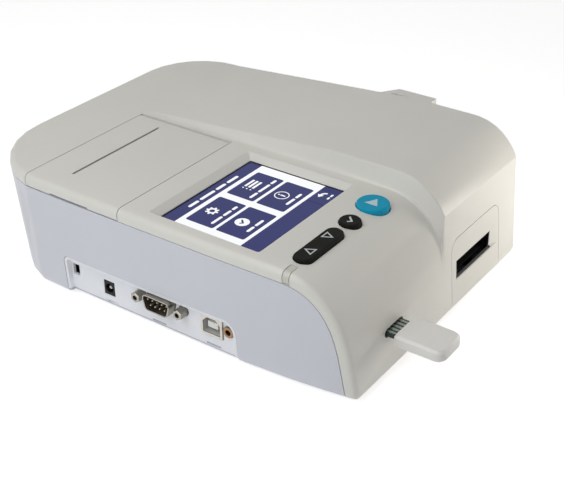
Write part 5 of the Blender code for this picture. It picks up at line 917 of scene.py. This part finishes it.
def onKey(node, centre):
    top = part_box(node)[1].z

    def place(x, y, thickness):
        where = Vector((centre.x + x, centre.y + y, top + symbols["above"]))
        point, _ = touch(node, where, (0, 0, -1))
        height = (point.z if point else top) + symbols["lift"]
        return Vector((where.x, where.y, height)), Vector((where.x, where.y, height + thickness))

    return place


def keyCentre(node):
    low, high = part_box(node)
    return (low + high) / 2


def printOnKey(name, loops, node, body, ink):
    place = onKey(node, keyCentre(node))
    plate(name, loops, place, symbols["ink"], ink, body, symbols["cells"])


def makeKeySymbols():
    half, foot, tip = (symbols["triangle"][key] for key in ("half", "foot", "tip"))
    for name, shift, way in symbols["rockerMarks"]:
        triangle = [(shift - half, -foot * way), (shift + half, -foot * way), (shift, tip * way)]
        if way < 0:
            triangle.reverse()
        loops = [triangle, insetLoop(triangle, symbols["line"])]
        printOnKey(name, loops, "rocker_key", "rocker", inkPale)
    printOnKey("ok_mark", [symbols["tick"]], "ok_key", "ok", inkPale)
    printOnKey("start_mark", [symbols["start"]], "start_key", "start", inkTeal)


makeKeySymbols()
print("key symbols made")


# code chip contacts and the plain bars printed under the connectors
contacts = {
    "count": 5,
    "pitch": 0.0025,
    "width": 0.0014,
    "corner": 0.0003,
    "fromBody": 0.0003,
    "ends": 0.0008,
    "thickness": 0.00006,
    "metal": {"colour": screenColour(170, 178, 174), "roughness": 0.28, "swing": 0.06},
}
labelBars = {
    "places": ((0.0398, 0.0052, 0.0079), (0.0105, 0.0054, 0.0083), (-0.0216, 0.0056, 0.0083)),
    "height": 0.0009,
    "corner": 0.0003,
    "cells": 0.0008,
    "lift": 0.00002,
    "thickness": 0.00005,
    "seenFrom": -0.12,
    "colour": screenColour(184, 188, 198),
}


def makeChipContacts():
    low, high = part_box("code_chip_board")
    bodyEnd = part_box("code_chip_body")[1].y

    def place(x, y, thickness):
        where = Vector((x, y, high.z))
        return where, where + Vector((0, 0, thickness))

    loops = []
    length = high.y - bodyEnd - contacts["ends"]
    for k in range(contacts["count"]):
        x = (low.x + high.x) / 2 + (k - (contacts["count"] - 1) / 2) * contacts["pitch"]
        centre = (x, bodyEnd + contacts["fromBody"] + length / 2)
        loops.append(roundedBox(centre, contacts["width"], length, contacts["corner"], 3))
    finish = metal("contact_gold", contacts["metal"])
    plate("code_chip_contacts", loops, place, contacts["thickness"], finish, "code_chip")


def onLeftWall(y, z, thickness):
    hits = []
    for node in ("lower_case", "connector_panel"):
        point, _ = touch(node, (labelBars["seenFrom"], y, z), (1, 0, 0))
        if point:
            hits.append(point.x)
    outside = min(hits) - labelBars["lift"]
    return Vector((outside, y, z)), Vector((outside - thickness, y, z))


def makeLabelBars():
    ink = inkFinish("label_ink", labelBars["colour"])
    for number, (middle, height, length) in enumerate(labelBars["places"], 1):
        loop = roundedBox((middle, height), length, labelBars["height"], labelBars["corner"], 3)
        name = "label_bar_" + str(number)
        thickness, cells = labelBars["thickness"], labelBars["cells"]
        plate(name, [loop], onLeftWall, thickness, ink, "case", cells)


makeChipContacts()
makeLabelBars()
print("contacts and label bars made")


# studio
studio = {
    "floor": screenColour(250, 250, 250),
    "floorGlow": 0.62,
    "floorReach": 6.0,
    "ambient": screenColour(224, 224, 225),
    "ambientStrength": 0.33,
    "lamps": (
        # name, place, aimed at, size, watts, colour
        ("top_lamp", (-0.3, 0.06, 0.6), (0, 0, 0.03), 0.5, 1.25, (1.0, 0.97, 0.92)),
        ("left_lamp", (-0.4, 0.03, 0.25), (-0.06, 0.03, 0.05), 0.3, 0.36, (0.89, 0.94, 1.0)),
        ("front_lamp", (0.17, -0.22, 0.05), (0.06, -0.09, 0.05), 0.1, 0.19, (1.0, 0.94, 0.86)),
    ),
}


def seenOnly(tree):  # 1 for rays that should meet the white background
    path = tree.nodes.new("ShaderNodeLightPath")
    first = tree.nodes.new("ShaderNodeMath")
    second = tree.nodes.new("ShaderNodeMath")
    for node in (first, second):
        node.operation = "MAXIMUM"
    tree.links.new(path.outputs["Is Camera Ray"], first.inputs[0])
    tree.links.new(path.outputs["Is Glossy Ray"], first.inputs[1])
    tree.links.new(first.outputs[0], second.inputs[0])
    tree.links.new(path.outputs["Is Transmission Ray"], second.inputs[1])
    return second.outputs[0]


def makeWorld():
    world = bpy.data.worlds.new("studio")
    world.use_nodes = True
    bpy.context.scene.world = world
    tree = world.node_tree
    background = tree.nodes["Background"]
    background.inputs["Color"].default_value = studio["ambient"]
    background.inputs["Strength"].default_value = studio["ambientStrength"]
    white = tree.nodes.new("ShaderNodeBackground")
    white.inputs["Color"].default_value = (1, 1, 1, 1)
    mix = tree.nodes.new("ShaderNodeMixShader")
    tree.links.new(seenOnly(tree), mix.inputs[0])
    tree.links.new(background.outputs[0], mix.inputs[1])
    tree.links.new(white.outputs[0], mix.inputs[2])
    tree.links.new(mix.outputs[0], tree.nodes["World Output"].inputs[0])


def makeFloor():
    sockets = {"Base Color": studio["floor"], "Roughness": 0.9, "Specular IOR Level": 0.1}
    material = startMaterial("studio_floor", sockets)
    tree = material.node_tree
    shader = shaderOf(material)
    shader.inputs["Emission Color"].default_value = (1, 1, 1, 1)
    strength = tree.nodes.new("ShaderNodeMath")
    strength.operation = "MULTIPLY"
    strength.inputs[1].default_value = studio["floorGlow"]
    tree.links.new(seenOnly(tree), strength.inputs[0])
    tree.links.new(strength.outputs[0], shader.inputs["Emission Strength"])
    mesh = bpy.data.meshes.new("studio_floor")
    reach = studio["floorReach"]
    corners = [(-reach, -reach, 0), (reach, -reach, 0), (reach, reach, 0), (-reach, reach, 0)]
    mesh.from_pydata(corners, [], [(0, 1, 2, 3)])
    mesh.materials.append(material)
    floor = bpy.data.objects.new("studio_floor", mesh)
    bpy.context.scene.collection.objects.link(floor)


def makeLamps():
    for name, place, aim, size, watts, colour in studio["lamps"]:
        data = bpy.data.lights.new(name, "AREA")
        data.shape = "DISK"
        data.size = size
        data.energy = watts
        data.color = colour
        lamp = bpy.data.objects.new(name, data)
        lamp.location = place
        lamp.rotation_euler = (Vector(aim) - Vector(place)).to_track_quat("-Z", "Y").to_euler()
        bpy.context.scene.collection.objects.link(lamp)


makeWorld()
makeFloor()
makeLamps()
bpy.context.scene.view_settings.view_transform = "Standard"
print("studio made")
